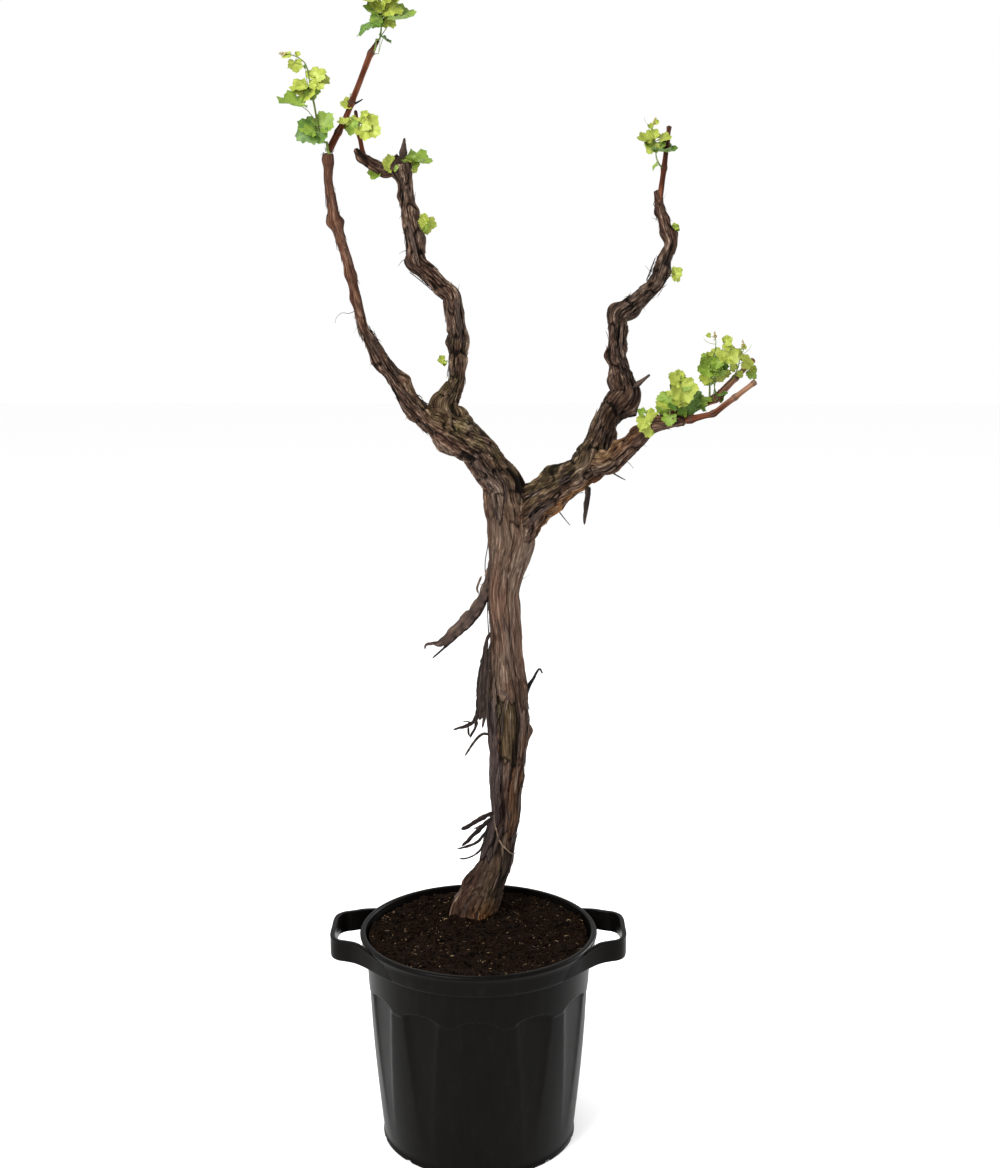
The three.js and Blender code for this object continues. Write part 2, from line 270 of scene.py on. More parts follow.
# the vine's frame of limbs
# each bend: run to it in mm, lean from plumb to +X and swing to +Y in degrees, diameter there in mm
limbRows = {
    "trunk": {
        "foot": 78,
        "rows": [(48, 2, -2, 71), (92, 22, -5, 54), (93, 12, -5, 47), (112, 2, -5, 59), (78, -1, -4, 67),
                 (112, -2.5, -5, 51), (102, -2, -6, 48), (91, 7, -7, 60), (103, -8, -8, 56),
                 (65, -37, -11, 50),
                 (52, -60, -15, 41), (45, -55, -15, 32), (46, -40, -18, 27), (82, -33, -17, 22),
                 (56, -27, -15, 16), (110, -12, -9, 14.5), (59, -16, -10, 16.5), (59, -7, -10, 13),
                 (40, 2, -7, 15)],
    },
    "boughRight": {
        "from": ("trunk", 8), "foot": 44,
        "rows": [(82, 37, -12, 58), (66, 52, -13, 50), (42, 51, -14, 44), (73, 19, 16, 38), (55, 36, 16, 42),
                 (67, -11, 17, 29), (62, 3, 16, 29), (79, 50, 12, 27), (71, 22, 11, 18), (68, -16, 10, 14.5),
                 (24, -9, 10, 11)],
    },
    "boughInner": {
        "from": ("trunk", 11), "foot": 36,
        "rows": [(48, -7, 10, 36), (41, 25, 25, 27), (71, 2, 18, 25), (72, -10, 15, 27), (77, -44, 10, 29),
                 (77, -11, 9, 24), (83, -7, 6, 21)],
    },
    "boughLower": {
        "from": ("boughRight", 3), "foot": 36,
        "rows": [(45, 71, -46, 31), (65, 45, -25, 26), (35, 43, -26, 23), (52, 83, -29, 14)],
    },
    "spurLeft": {
        "from": ("boughInner", 7), "foot": 26,
        "rows": [(32, -118, -12, 19), (42, -58, -19, 14.5), (20, -44, -17, 8)],
    },
    "caneLeft": {
        "from": ("trunk", 19), "foot": 11,
        "rows": [(59, 27, 10, 8.6), (100, 22, 8, 8.6), (24, 29, 14, 5.5)],
    },
    "caneRight": {
        "from": ("boughRight", 10), "foot": 10,
        "rows": [(63, 7, 3, 8.5), (62, 6, -2, 6.5)],
    },
    "caneLow": {
        "from": ("boughLower", 4), "foot": 11,
        "rows": [(46, 73, -23, 9), (82, 50, -15, 7.5)],
    },
    "caneHigh": {
        "from": ("boughLower", 3), "foot": 15,
        "rows": [(58, 68, -10, 15), (46, 69, 17, 12), (88, 46, 13, 7.5)],
    },
    "twigLeft": {"from": ("spurLeft", 2), "foot": 8, "rows": [(35, -9, 0, 7), (40, -9, 3, 4.5)]},
    "stubLeft": {"from": ("boughInner", 7), "foot": 13, "rows": [(20, 6, -9, 10), (19, 6, -9, 3.5)]},
    "stubRight": {"from": ("boughRight", 5), "foot": 9, "rows": [(30, 50, -17, 7), (24, 50, -17, 4)]},
}
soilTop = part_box("soil")[1].z
trunkFoot = (-8, 117, 36)  # mm: to the side, back, and down into the soil
trunkStart = Vector((trunkFoot[0], trunkFoot[1], soilTop / mm - trunkFoot[2])) * mm
limbStep = 2.5  # mm between the points of a limb's fine walk
bends = {}  # the points of each limb's walk
limbs = {}  # finely stepped centre, size and directions of each limb


def stepFor(run, lean, swing):
    a, b = math.radians(lean), math.radians(swing)
    return Vector((math.cos(b) * math.sin(a), math.sin(b), math.cos(b) * math.cos(a))) * run * mm


def filledIn(values, shares):
    # the values, with more at these shares of the way from each one to the next
    return [values[0]] + [a + (b - a) * share for a, b in zip(values, values[1:]) for share in shares]


def between(first, second, low, high, at):
    # where a straight walk that is at first at low, and at second at high, has got to
    return first * ((high - at) / (high - low)) + second * ((at - low) / (high - low))


def splineThrough(points, sizes, step, tight=False):
    # an even walk along a smooth line through the points: run, place and half size at each step
    fine = 24  # steps worked out between two points
    if tight:  # extra points either side of each bend keep the runs straight and the elbows short
        points, sizes = filledIn(points, (0.3, 0.7, 1)), filledIn(sizes, (0.22, 0.78, 1))
    ghost = [2 * points[0] - points[1], *points, 2 * points[-1] - points[-2]]
    dense, girth = [], []
    for i in range(len(points) - 1):
        p = ghost[i:i + 4]
        t = [0.0]
        for j in range(3):
            t.append(t[-1] + max(1e-6, (p[j + 1] - p[j]).length) ** 0.5)
        for k in range(fine):
            u = t[1] + (t[2] - t[1]) * k / fine
            a = [between(p[j], p[j + 1], t[j], t[j + 1], u) for j in range(3)]
            b = [between(a[j], a[j + 1], t[j], t[j + 2], u) for j in range(2)]
            dense.append(between(b[0], b[1], t[1], t[2], u))
            ease = k / fine
            girth.append(sizes[i] + (sizes[i + 1] - sizes[i]) * ease * ease * (3 - 2 * ease))
    dense.append(points[-1])
    girth.append(sizes[-1])
    dense = np.array([tuple(p) for p in dense])
    run = np.concatenate([[0], np.cumsum(np.linalg.norm(np.diff(dense, axis=0), axis=1))])
    count = max(3, int(round(run[-1] / step)))
    even = np.linspace(0, run[-1], count + 1)
    centre = np.stack([np.interp(even, run, dense[:, k]) for k in range(3)], axis=1)
    return even, centre, np.interp(even, run, girth) / 2


def directionsAlong(centre):
    # the limb's front faces -Y at its foot and is carried up it without twisting
    along = np.gradient(centre, axis=0)
    along /= np.linalg.norm(along, axis=1)[:, None]
    front = np.zeros_like(along)
    held = np.array([0.0, -1.0, 0.0])
    for i, heading in enumerate(along):
        held = held - heading * held.dot(heading)
        held /= np.linalg.norm(held)
        front[i] = held
    return along, front, np.cross(along, front)


def layOutLimbs():
    for name, spec in limbRows.items():
        start = trunkStart if name == "trunk" else bends[spec["from"][0]][spec["from"][1]]
        points = [start]
        for run, lean, swing, _ in spec["rows"]:
            points.append(points[-1] + stepFor(run, lean, swing))
        bends[name] = points
        sizes = [spec["foot"] * mm] + [row[3] * mm for row in spec["rows"]]
        even, centre, half = splineThrough(points, sizes, limbStep * mm, tight=True)
        along, front, right = directionsAlong(centre)
        limbs[name] = {"run": even, "centre": centre, "half": half,
                       "along": along, "front": front, "right": right}


def onLimb(name, run, angle=0.0, lift=0.0):
    # a point on a limb's bark, with the way out and the way along there
    # angle 0 faces the front, 90 the right
    limb = limbs[name]
    centre, along, front, right = (
        np.array([np.interp(run, limb["run"], limb[key][:, k]) for k in range(3)])
        for key in ("centre", "along", "front", "right"))
    turn = math.radians(angle)
    out = front * math.cos(turn) + right * math.sin(turn)
    half = np.interp(run, limb["run"], limb["half"])
    return Vector(centre + out * (half + lift)), Vector(out).normalized(), Vector(along).normalized()


# bark
barkLook = {
    "plateWidth": 12, "plateLength": 150, "plateDepth": 1.4,  # mm
    "flakeWidth": 4.6, "flakeLength": 26, "flakeDepth": 2.2,
    "fibreWidth": 2.6, "fibreLength": 95, "fibreDepth": 0.7,
    "hairWidth": 1.3, "hairLength": 40, "hairDepth": 0.35,
    "burlWidth": 20, "burlLength": 34, "ribs": 0.06,
    "driftWidth": 26, "driftLength": 70, "drift": 3,  # how the grain wanders
    "furrowWidth": 15, "furrowLength": 230, "splitWidth": 9, "splitLength": 38, "furrowDepth": 2.4,
    "gapShade": 0.30, "flankShade": 0.10,  # how much painted shade darkens the gaps round the panels and the flanks
    "collarReach": 0.75, "collarRise": 0.42,  # shares of the thinner limb's half size where two limbs join
    "endDome": 0.55,  # how far back from its end a limb rounds off, as a share of its half size
}
# swellings: limb, run along it in mm, angle round it in degrees, half length, half width and height in mm
barkKnots = [
    ("trunk", 386, 100, 16, 14, 11), ("trunk", 366, 80, 12, 10, 3), ("trunk", 470, 70, 30, 20, 3),
    ("trunk", 700, 95, 30, 20, 3),
    ("trunk", 822, 58, 14, 12, 5), ("trunk", 905, -60, 40, 20, 4), ("trunk", 930, 95, 30, 20, 8),
    ("trunk", 880, 20, 20, 16, 4),
    ("trunk", 985, 80, 18, 14, 8), ("trunk", 1020, -80, 18, 12, 6), ("trunk", 1045, 20, 14, 12, 4),
    ("trunk", 1075, 60, 14, 12, 8),
    ("trunk", 1120, -60, 12, 12, 5), ("trunk", 84, -84, 26, 20, 6), ("trunk", 36, -74, 24, 22, 4),
    ("trunk", 75, 180, 30, 34, 5),
    ("trunk", 1224, -90, 9, 16, 2.5), ("trunk", 1258, 80, 9, 14, 3), ("trunk", 1262, -90, 9, 14, 3),
    ("trunk", 1340, 80, 9, 12, 4),
    ("trunk", 1345, -90, 9, 14, 4.5), ("trunk", 1342, 0, 8, 14, 3), ("trunk", 1436, -70, 8, 10, 2.5),
    ("trunk", 1430, 90, 8, 9, 1),
    ("trunk", 1432, 0, 9, 10, 1.5),
    ("boughRight", 60, -60, 16, 14, 5), ("boughRight", 130, -90, 18, 14, 10),
    ("boughRight", 160, 10, 16, 14, 4),
    ("boughRight", 205, -60, 18, 14, 6), ("boughRight", 238, 60, 16, 12, 5),
    ("boughRight", 302, 95, 14, 12, 10),
    ("boughRight", 300, -30, 14, 12, 5), ("boughRight", 345, -80, 12, 10, 4),
    ("boughRight", 385, -95, 9, 12, 9),
    ("boughRight", 395, 60, 12, 10, 5), ("boughRight", 452, -88, 9, 12, 8), ("boughRight", 474, 90, 10, 9, 3),
    ("boughRight", 552, 80, 12, 10, 5), ("boughRight", 570, -60, 9, 9, 3), ("boughRight", 614, 100, 9, 10, 6),
    ("boughRight", 620, -70, 9, 9, 3), ("boughRight", 655, -80, 8, 8, 4), ("boughRight", 640, 60, 8, 7, 3),
    ("boughInner", 42, -90, 14, 13, 8), ("boughInner", 30, 95, 12, 12, 8), ("boughInner", 88, 0, 14, 12, 4),
    ("boughInner", 165, 95, 16, 12, 4), ("boughInner", 158, -90, 12, 10, 5),
    ("boughInner", 232, 90, 14, 12, 5),
    ("boughInner", 250, -60, 12, 10, 4), ("boughInner", 312, -95, 10, 10, 7),
    ("boughInner", 345, 80, 12, 10, 4),
    ("boughInner", 388, 100, 12, 10, 5), ("boughInner", 420, -80, 10, 8, 4),
    ("boughInner", 455, -85, 13, 14, 8), ("boughInner", 462, 40, 9, 10, 3),
    ("boughLower", 40, 60, 12, 12, 5), ("boughLower", 75, -60, 12, 10, 5),
    ("boughLower", 110, -80, 12, 10, 6),
    ("boughLower", 148, 60, 12, 10, 5), ("boughLower", 182, -40, 9, 9, 4), ("spurLeft", 34, 60, 8, 8, 4),
    ("spurLeft", 60, -60, 8, 8, 3), ("spurLeft", 80, -60, 8, 8, 4),
]
# plates and bare panels: limb, run from and to in mm, angle from and to in degrees, rise in mm,
# whether its lower end comes to a point, and its tones
barkPanels = [
    ("trunk", 150, 452, -125, -27, 2.4, False, {"violet": 0.8, "pale": 0.1}),
    ("trunk", 335, 448, -28, 34, -3.4, False, {"moss": 0.5, "pale": -0.5}),
    ("trunk", 205, 342, 10, 60, -1.2, False, {"rust": 0.2, "pale": -0.2}),
    ("trunk", 205, 345, -24, 10, -2.0, False, {"violet": 0.2, "pale": -0.1}),
    ("trunk", 430, 770, 10, 100, 1.8, True, {"pale": 0.25}),
    ("trunk", 345, 425, 38, 62, 1.0, False, {"pale": 1.1}),
    ("trunk", 770, 905, -48, 6, 3.0, True, {"violet": 0.25, "pale": 0.1}),
    ("trunk", 735, 805, 46, 76, 1.6, True, {"pale": 1.2}),
    ("trunk", 806, 834, 40, 74, -5.0, False, {"pale": -2.0}),
    ("trunk", 20, 100, -110, -58, 1.5, True, {"pale": 0.9}),
    ("trunk", 90, 190, 20, 80, 1.5, True, {"violet": 0.5, "pale": -0.4}),
    ("trunk", 500, 640, -180, -120, 2.0, True, {"rust": 0.3}),
    ("trunk", 240, 420, 120, 170, -2.0, False, {"rust": 0.3, "pale": 0.3}),
    ("boughRight", 20, 110, 0, 50, 2.0, False, {"violet": 0.2, "pale": 0.3}),
]
# along the limb: (run in mm, age of the bark, share of short crumbly flakes, paleness, depth of furrows)
limbTexture = {
    "trunk": [(0, 1, 0.6, -0.3, 1), (130, 1, 0.25, -0.2, 0.8), (300, 1, 0.15, 0.15, 0.6),
              (430, 1, 0.1, 0.4, 0.5),
              (520, 1, 0.0, 0.70, 0.35), (740, 1, 0.0, 0.70, 0.35), (800, 1, 0.6, 0.2, 0.9),
              (860, 1, 1, -0.3, 1),
              (1080, 1, 1, -0.3, 1), (1160, 0.85, 0.9, -0.1, 1), (1230, 0.45, 0.4, 0.3, 0.7),
              (1446, 0.35, 0.2, 0.1, 0.5)],
    "boughRight": [(0, 1, 0.5, 0.1, 0.9), (60, 1, 0.9, -0.4, 1), (200, 1, 1, -0.9, 1),
                   (560, 0.9, 1, -0.65, 1), (700, 0.6, 0.6, -0.3, 1)],
    "boughInner": [(0, 1, 1, -0.2, 1), (480, 0.9, 1, -0.1, 1)],
    "boughLower": [(0, 1, 0.9, -0.6, 1), (200, 0.7, 0.8, -0.4, 1)],
    "spurLeft": [(0, 0.8, 0.9, -0.6, 1), (100, 0.7, 0.8, -0.6, 1)],
}
# where two limbs meet, their bark swells towards each other
junctions = {"trunk": ["boughRight", "boughInner"], "boughRight": ["trunk", "boughLower"],
             "boughInner": ["trunk", "spurLeft"],
             "boughLower": ["boughRight"], "spurLeft": ["boughInner"]}


def alongLimb(name, run, column):
    rows = limbTexture[name]
    return np.interp(run, [row[0] * mm for row in rows], [row[column] for row in rows])


def panelsOn(name, run, angle):
    # height and tones that the plates and bare panels add, and the painted shade in the gaps round them
    rise, gap = np.zeros_like(run), np.zeros_like(run)
    tones = {tone: np.zeros_like(run) for tone in ("violet", "pale", "moss", "rust")}
    for number, (limb, low, high, left, right, tall, pointed, tints) in enumerate(barkPanels):
        if limb != name:
            continue
        wander = np.stack([run / 0.040, np.full_like(run, number * 5.3), np.zeros_like(run)], axis=1)
        side = 8 * noiseAt(wander, 51) + 4 * noiseAt(wander * 3.7, 52)
        ragged = np.stack([np.degrees(angle) / 14, np.full_like(run, number * 3.1), np.zeros_like(run)],
                          axis=1)
        end = 14 * noiseAt(ragged, 53)
        middle, half = (left + right) / 2, (right - left) / 2
        off = np.abs(np.degrees(np.angle(np.exp(1j * (angle - math.radians(middle))))) + side)
        at = run / mm + end
        if pointed:
            half = half * np.clip((at - low) / (0.5 * (high - low)), 0, 1) ** 0.7
        inside = smoothStep(half - off, -2.5, 2.5) * smoothStep(at, low - 4, low + 4)
        inside = inside * smoothStep(-at, -high - 4, -high + 4)
        rise += tall * mm * inside
        # painted shade, strongest along each panel's edge where the bark steps up or down
        gap = np.maximum(gap, 4 * inside * (1 - inside))
        for tone, share in tints.items():
            tones[tone] += share * inside
    return rise, gap, tones


def reliefOf(name, run, angle, half, seed):
    # bark height in metres, and how far each spot stands out of its furrow (0 to 1), used as grain tone with
    # painted shade in the furrows and low terraces
    look = barkLook
    age, crumbly, cut = alongLimb(name, run, 1), alongLimb(name, run, 2), alongLimb(name, run, 4)
    sweep = np.stack([run / 0.13, np.full_like(run, seed * 7.1), np.zeros_like(run)], axis=1)
    turned = angle + 0.3 * noiseAt(sweep, seed) + 0.9 * run
    size = np.maximum(half, 0.010)
    x, y = np.cos(turned) * size, np.sin(turned) * size

    def streak(width, length, key):
        spots = np.stack([x / (width * mm), y / (width * mm), run / (length * mm)], axis=1)
        return noiseAt(spots, seed * 31 + key)

    burl = streak(look["burlWidth"], look["burlLength"], 8)
    burl = burl + 0.5 * streak(look["burlWidth"] / 2, look["burlLength"] / 2, 9)
    drift = [look["drift"] * mm * streak(look["driftWidth"], look["driftLength"], key) for key in (1, 2)]
    x, y = x + drift[0], y + drift[1]

    def terraces(width, length, key, levels):
        raw = (streak(width, length, key) + 0.45 * streak(width / 2, length / 2, key + 1)) * levels
        return (np.floor(raw) + smoothStep(raw - np.floor(raw), 0.0, 0.3)) / levels

    plate = terraces(look["plateWidth"], look["plateLength"], 3, 2.2)
    flake = terraces(look["flakeWidth"], look["flakeLength"], 10, 2.6)
    fibre = 1 - np.abs(streak(look["fibreWidth"], look["fibreLength"], 5)) * 2
    rough = 1 - np.abs(streak(look["fibreWidth"], look["fibreLength"] / 4, 12)) * 2
    hair = streak(look["hairWidth"], look["hairLength"], 6)
    furrow = -smoothStep(0.09 - np.abs(streak(look["furrowWidth"], look["furrowLength"], 7)), 0.0, 0.08)
    split = -smoothStep(0.13 - np.abs(streak(look["splitWidth"], look["splitLength"], 13)), 0.0, 0.10)
    fibre = fibre * (1 - crumbly) + rough * crumbly
    furrow = cut * (furrow * (1 - crumbly) + split * crumbly)
    height = look["plateDepth"] * plate * (1 - 0.5 * crumbly) * cut + look["flakeDepth"] * flake * crumbly
    height += look["fibreDepth"] * (1 + 0.5 * crumbly) * fibre + look["hairDepth"] * hair
    height += look["furrowDepth"] * furrow
    height = age * mm * height * np.clip(half / 0.017, 0.3, 1.0)
    ribs = 0.6 * np.sin(3 * turned + 9 * run + seed) + 0.4 * np.sin(5 * turned - 14 * run + 2 * seed)
    ribbed = look["ribs"] * half * ribs * (0.4 + 0.6 * age)
    height += ribbed + burl * half * (0.04 + 0.15 * crumbly) * (0.3 + 0.7 * age)
    # grain tone, with painted shade laid into the low terraces and furrows
    toneAndShade = 0.5 + 0.08 * plate * cut + 0.13 * flake * crumbly + 0.12 * fibre + 0.08 * hair + 0.42 * furrow
    # painted shade: the bark darkens towards its left and right flanks, as if lit from the front
    toneAndShade -= look["flankShade"] * (1 - crumbly) * np.sin(angle) ** 2
    rise, gap, tones = panelsOn(name, run, angle)
    height += rise
    # painted shade in the gaps round the panels
    toneAndShade -= look["gapShade"] * gap
    for knotLimb, at, facing, long, wide, tall in barkKnots:
        if knotLimb != name:
            continue
        away = (np.angle(np.exp(1j * (angle - math.radians(facing)))) * half / (wide * mm)) ** 2
        away = away + ((run - at * mm) / (long * mm)) ** 2
        height += tall * mm * np.exp(-away) * (1 + 0.25 * burl)
    return height, np.clip(toneAndShade, 0, 1), age, crumbly, tones


def awayFrom(points, name):
    # distance from each point to a limb's plain surface, and the limb's size there
    limb = limbs[name]
    best, size = np.full(len(points), 9.0), np.zeros(len(points))
    for centre, half in zip(limb["centre"][::3], limb["half"][::3]):
        gap = np.linalg.norm(points - centre, axis=1) - half
        size = np.where(gap < best, half, size)
        best = np.minimum(best, gap)
    return best, size


def placesOn(limb, run, angle):
    # the limb's centre at each run, and the way out from it at each angle
    centre, front, right = (
        np.stack([np.interp(run, limb["run"], limb[key][:, k]) for k in range(3)], axis=1)
        for key in ("centre", "front", "right"))
    return centre, front * np.cos(angle)[:, None] + right * np.sin(angle)[:, None]


def limbMesh(name, around, seed, step=2.1):
    limb = limbs[name]
    total = limb["run"][-1]
    along = int(round(total / (step * mm)))
    mesh = gridMesh(name, around, along)
    sheet = pointsOf(mesh)
    angle = np.pi * sheet[:, 0]
    run = (sheet[:, 1] + 1) / 2 * total
    half = np.interp(run, limb["run"], limb["half"])
    height, toneAndShade, age, crumbly, tones = reliefOf(name, run, angle, half, seed)
    middle, out = placesOn(limb, run, angle)
    plain = middle + out * half[:, None]
    for other in junctions[name]:
        gap, size = awayFrom(plain, other)
        reach = barkLook["collarReach"] * np.minimum(size, half)
        closeness = np.exp(-((np.maximum(gap, 0) / np.maximum(reach, 1e-4)) ** 2))
        height += barkLook["collarRise"] * reach * closeness
    radius = half + height
    endRun = total - run
    dome = np.sqrt(np.clip(1 - (1 - np.clip(endRun / (barkLook["endDome"] * half), 0, 1)) ** 2, 0, 1))
    radius = radius * dome * np.where(run < 1e-9, 0.0, 1.0)
    setPoints(mesh, middle + out * radius[:, None])
    girth = np.maximum(half, 0.008)
    storeValue(mesh, "barkCoord", np.stack([np.cos(angle) * girth, np.sin(angle) * girth, run], axis=1))
    storeValue(mesh, "toneAndShade", toneAndShade)
    storeValue(mesh, "age", age)
    storeValue(mesh, "crumbly", crumbly)
    storeValue(mesh, "pale", alongLimb(name, run, 3) + tones["pale"])
    lit = out[:, 2]
    storeValue(mesh, "moss", np.clip(mossAt(name, run, angle, lit, middle) + tones["moss"], 0, 1))
    storeValue(mesh, "rust", np.clip(rustAt(name, run, angle, lit) + tones["rust"], 0, 1))
    storeValue(mesh, "violet", np.clip(tones["violet"], 0, 1))
    weld(mesh)
    return mesh


def spotOn(run, angle, at, facing, long, wide):
    # 1 at the middle of an oval on the bark, fading to 0; runs in metres, angles in degrees
    turn = np.degrees(np.angle(np.exp(1j * (angle - math.radians(facing)))))
    return np.exp(-(((run - at) / long) ** 2) - ((turn / wide) ** 2))


def mossAt(name, run, angle, lit, place):
    # olive growth on the upper sides near the forks
    spots = {"trunk": (0.93, 0.15), "boughRight": (0.14, 0.12),
             "boughInner": (0.05, 0.10), "boughLower": (0.02, 0.04)}
    middle, reach = spots.get(name, (9, 1))
    near = np.exp(-(((run - middle) / reach) ** 2))
    mottled = 0.65 + 0.7 * noiseAt(place / 0.012 + np.stack([angle, run * 60, angle], axis=1), 77)
    moss = near * smoothStep(lit, -0.45, 0.5) * mottled * 0.75
    if name == "trunk":
        moss = moss + 0.3 * spotOn(run, angle, 0.12, 20, 0.05, 40)
    return np.clip(moss, 0, 1)


def rustAt(name, run, angle, lit):
    # bare orange-brown inner bark
    if name == "trunk":
        foot = 0.9 * spotOn(run, angle, 0.045, 28, 0.030, 34)
        return foot + 0.25 * spotOn(run, angle, 1.02, 150, 0.1, 60)
    if name == "boughRight":
        return np.exp(-(((run - 0.12) / 0.075) ** 4)) * smoothStep(-lit, 0.35, 0.8)
    if name == "boughLower":
        return 0.35 * np.exp(-(((run - 0.1) / 0.09) ** 4)) * smoothStep(lit, -0.5, 0.3)
    return np.zeros_like(run)


# colours of the bark, from the bottom of a furrow, darkened with painted shade, to a pale raised edge that is
# partly worn and partly a painted highlight
barkTones = {
    "greyBrown": [(0.10, (0.0035, 0.0024, 0.0018)), (0.32, (0.0165, 0.0102, 0.0072)),
                  (0.50, (0.046, 0.0290, 0.0205)), (0.68, (0.112, 0.0760, 0.0560)),
                  (0.90, (0.36, 0.275, 0.205))],
    "redBrown": [(0.10, (0.0045, 0.0020, 0.0015)), (0.36, (0.026, 0.0105, 0.0065)),
                 (0.58, (0.080, 0.036, 0.0215)), (0.90, (0.28, 0.165, 0.105))],
    "orange": [(0.1, (0.010, 0.004, 0.002)), (0.42, (0.105, 0.042, 0.013)), (0.80, (0.38, 0.20, 0.075))],
    "olive": [(0.1, (0.0045, 0.0034, 0.0015)), (0.42, (0.034, 0.0245, 0.0100)), (0.80, (0.20, 0.150, 0.070))],
    "cool": [(0.1, (0.0035, 0.0028, 0.0028)), (0.42, (0.026, 0.0185, 0.0175)), (0.70, (0.082, 0.062, 0.057)),
             (0.90, (0.25, 0.21, 0.19))],
}


def barkFinish():
    material, tree, shader = startFinish("barkFinish", 0.95, 0.08)
    names = ("barkCoord", "toneAndShade", "age", "pale", "moss", "rust", "violet", "crumbly")
    field = {key: addNode(tree, "Attribute", {"attribute_name": key}) for key in names}
    coord = field["barkCoord"].outputs["Vector"]
    level = {key: field[key].outputs["Fac"] for key in names}

    long = noiseOf(tree, stretched(tree, coord, (430, 430, 14)), 1.0, 4, 0.6)
    fine = noiseOf(tree, stretched(tree, coord, (1300, 1300, 60)), 1.0, 3, 0.6)
    fleck = noiseOf(tree, stretched(tree, coord, (430, 430, 80)), 1.0, 4, 0.65)
    broad = noiseOf(tree, stretched(tree, coord, (40, 40, 9)), 1.0, 3, 0.6)
    streaky, flecked = weightedSum(tree, long, 0.50, 0.0), weightedSum(tree, fleck, 1.35, -0.42)
    grain = addNode(tree, "Mix", {"data_type": "FLOAT"}, _0=level["crumbly"], _2=streaky, _3=flecked)
    # the ramp runs on grain tone, with painted shade low in the furrows and painted highlight high on raised
    # edges
    depth = weightedSum(tree, fine, 0.50, level["toneAndShade"])
    depth = weightedSum(tree, grain.outputs[0], 1.0, depth)
    depth = weightedSum(tree, level["pale"], 0.15, depth)
    depth = weightedSum(tree, depth, 1.0, -0.548)
    tone = {key: rampOf(tree, depth, stops) for key, stops in barkTones.items()}
    warm = rampOf(tree, broad, [(0.42, (0, 0, 0)), (0.60, (1, 1, 1))])
    base = mixOf(tree, 0.5, tone["greyBrown"], mixOf(tree, warm, tone["greyBrown"], tone["redBrown"]))
    smoothAge = addNode(tree, "MapRange", Value=level["age"], From_Min=0.85, From_Max=0.45).outputs[0]
    base = mixOf(tree, smoothAge, base, tone["redBrown"])
    base = mixOf(tree, level["violet"], base, tone["cool"])
    base = mixOf(tree, level["rust"], base, tone["orange"])
    base = mixOf(tree, level["moss"], base, tone["olive"])
    tree.links.new(base, shader.inputs["Base Color"])
    bumpInto(tree, shader, weightedSum(tree, grain.outputs[0], 1.2, fine), 0.8, 0.0013)
    return material


# loose bark
def ribbonMesh(name, points, widths, thickness, facing, around=6, ripple=0.0, seed=0, step=3.0, pale=0.0):
    # a thin flat strip along the points; facing is the way its broad side looks
    even, centre, _ = splineThrough([Vector(p) for p in points], [0.001] * len(points), step * mm)
    share = even / even[-1]
    half = np.interp(share, np.linspace(0, 1, len(widths)), widths) / 2
    along = np.gradient(centre, axis=0)
    along /= np.linalg.norm(along, axis=1)[:, None]
    flat = np.array(facing, float) - along * (along @ np.array(facing, float))[:, None]
    flat /= np.maximum(np.linalg.norm(flat, axis=1)[:, None], 1e-6)
    side = np.cross(along, flat)
    mesh = gridMesh(name, around, len(even) - 1)
    sheet = pointsOf(mesh)
    angle = np.pi * sheet[:, 0]
    at = (sheet[:, 1] + 1) / 2 * (len(even) - 1)
    lay = np.round(at).astype(int)
    edge = noiseAt(np.stack([at * 0.35, np.sign(np.sin(angle)), np.full_like(at, seed * 3.7)], axis=1), seed)
    tip = np.clip(np.minimum(lay, len(even) - 1 - lay) / 1.5, 0, 1)
    wide = half[lay] * (1 + 0.25 * edge) * tip
    deep = thickness / 2 * tip
    curl = ripple * np.cos(angle * 2) * half[lay] * tip
    placed = centre[lay] + side[lay] * (np.sin(angle) * wide)[:, None]
    placed = placed + flat[lay] * (np.cos(angle) * deep + curl)[:, None]
    setPoints(mesh, placed)
    coord = np.stack([np.sin(angle) * wide + seed, np.cos(angle) * deep, even[lay]], axis=1)
    storeValue(mesh, "barkCoord", coord)
    storeValue(mesh, "toneAndShade", 0.40 + 0.09 * edge + 0.45 * pale)
    weld(mesh)
    return mesh


def looseFinish():
    material, tree, shader = startFinish("looseFinish", 0.95, 0.2)
    coord = addNode(tree, "Attribute", {"attribute_name": "barkCoord"}).outputs["Vector"]
    toneAndShade = addNode(tree, "Attribute", {"attribute_name": "toneAndShade"}).outputs["Fac"]
    long = noiseOf(tree, stretched(tree, coord, (420, 420, 18)), 1.0, 4, 0.65)
    depth = weightedSum(tree, weightedSum(tree, long, 0.9, toneAndShade), 1.0, -0.4)
    colour = rampOf(tree, depth, [(0.1, (0.003, 0.0022, 0.002)), (0.4, (0.017, 0.011, 0.009)),
                                  (0.65, (0.062, 0.040, 0.031)), (0.95, (0.30, 0.22, 0.15))])
    tree.links.new(colour, shader.inputs["Base Color"])
    bumpInto(tree, shader, long, 0.5, 0.001)
    return material


# limb: (how many, run from and to in mm, length range in mm, width range in mm, lift range in mm)
flakeLook = {
    "trunk": [(60, 40, 440, (22, 80), (2.5, 7), (0.8, 4)), (40, 440, 820, (20, 70), (1.5, 4), (0.5, 2)),
              (150, 820, 1180, (9, 34), (1.8, 5), (1, 5)), (34, 1150, 1400, (8, 30), (1.2, 3), (0.6, 3.5))],
    "boughRight": [(130, 40, 270, (8, 30), (1.8, 5), (1, 5)), (150, 230, 690, (7, 24), (1.4, 4), (1, 4.5))],
    "boughInner": [(130, 20, 460, (7, 26), (1.5, 4), (1, 4.5))],
    "boughLower": [(56, 20, 190, (7, 22), (1.4, 3.6), (1, 4.5))],
    "spurLeft": [(14, 5, 80, (6, 14), (1.2, 2.6), (0.6, 2.5))],
}
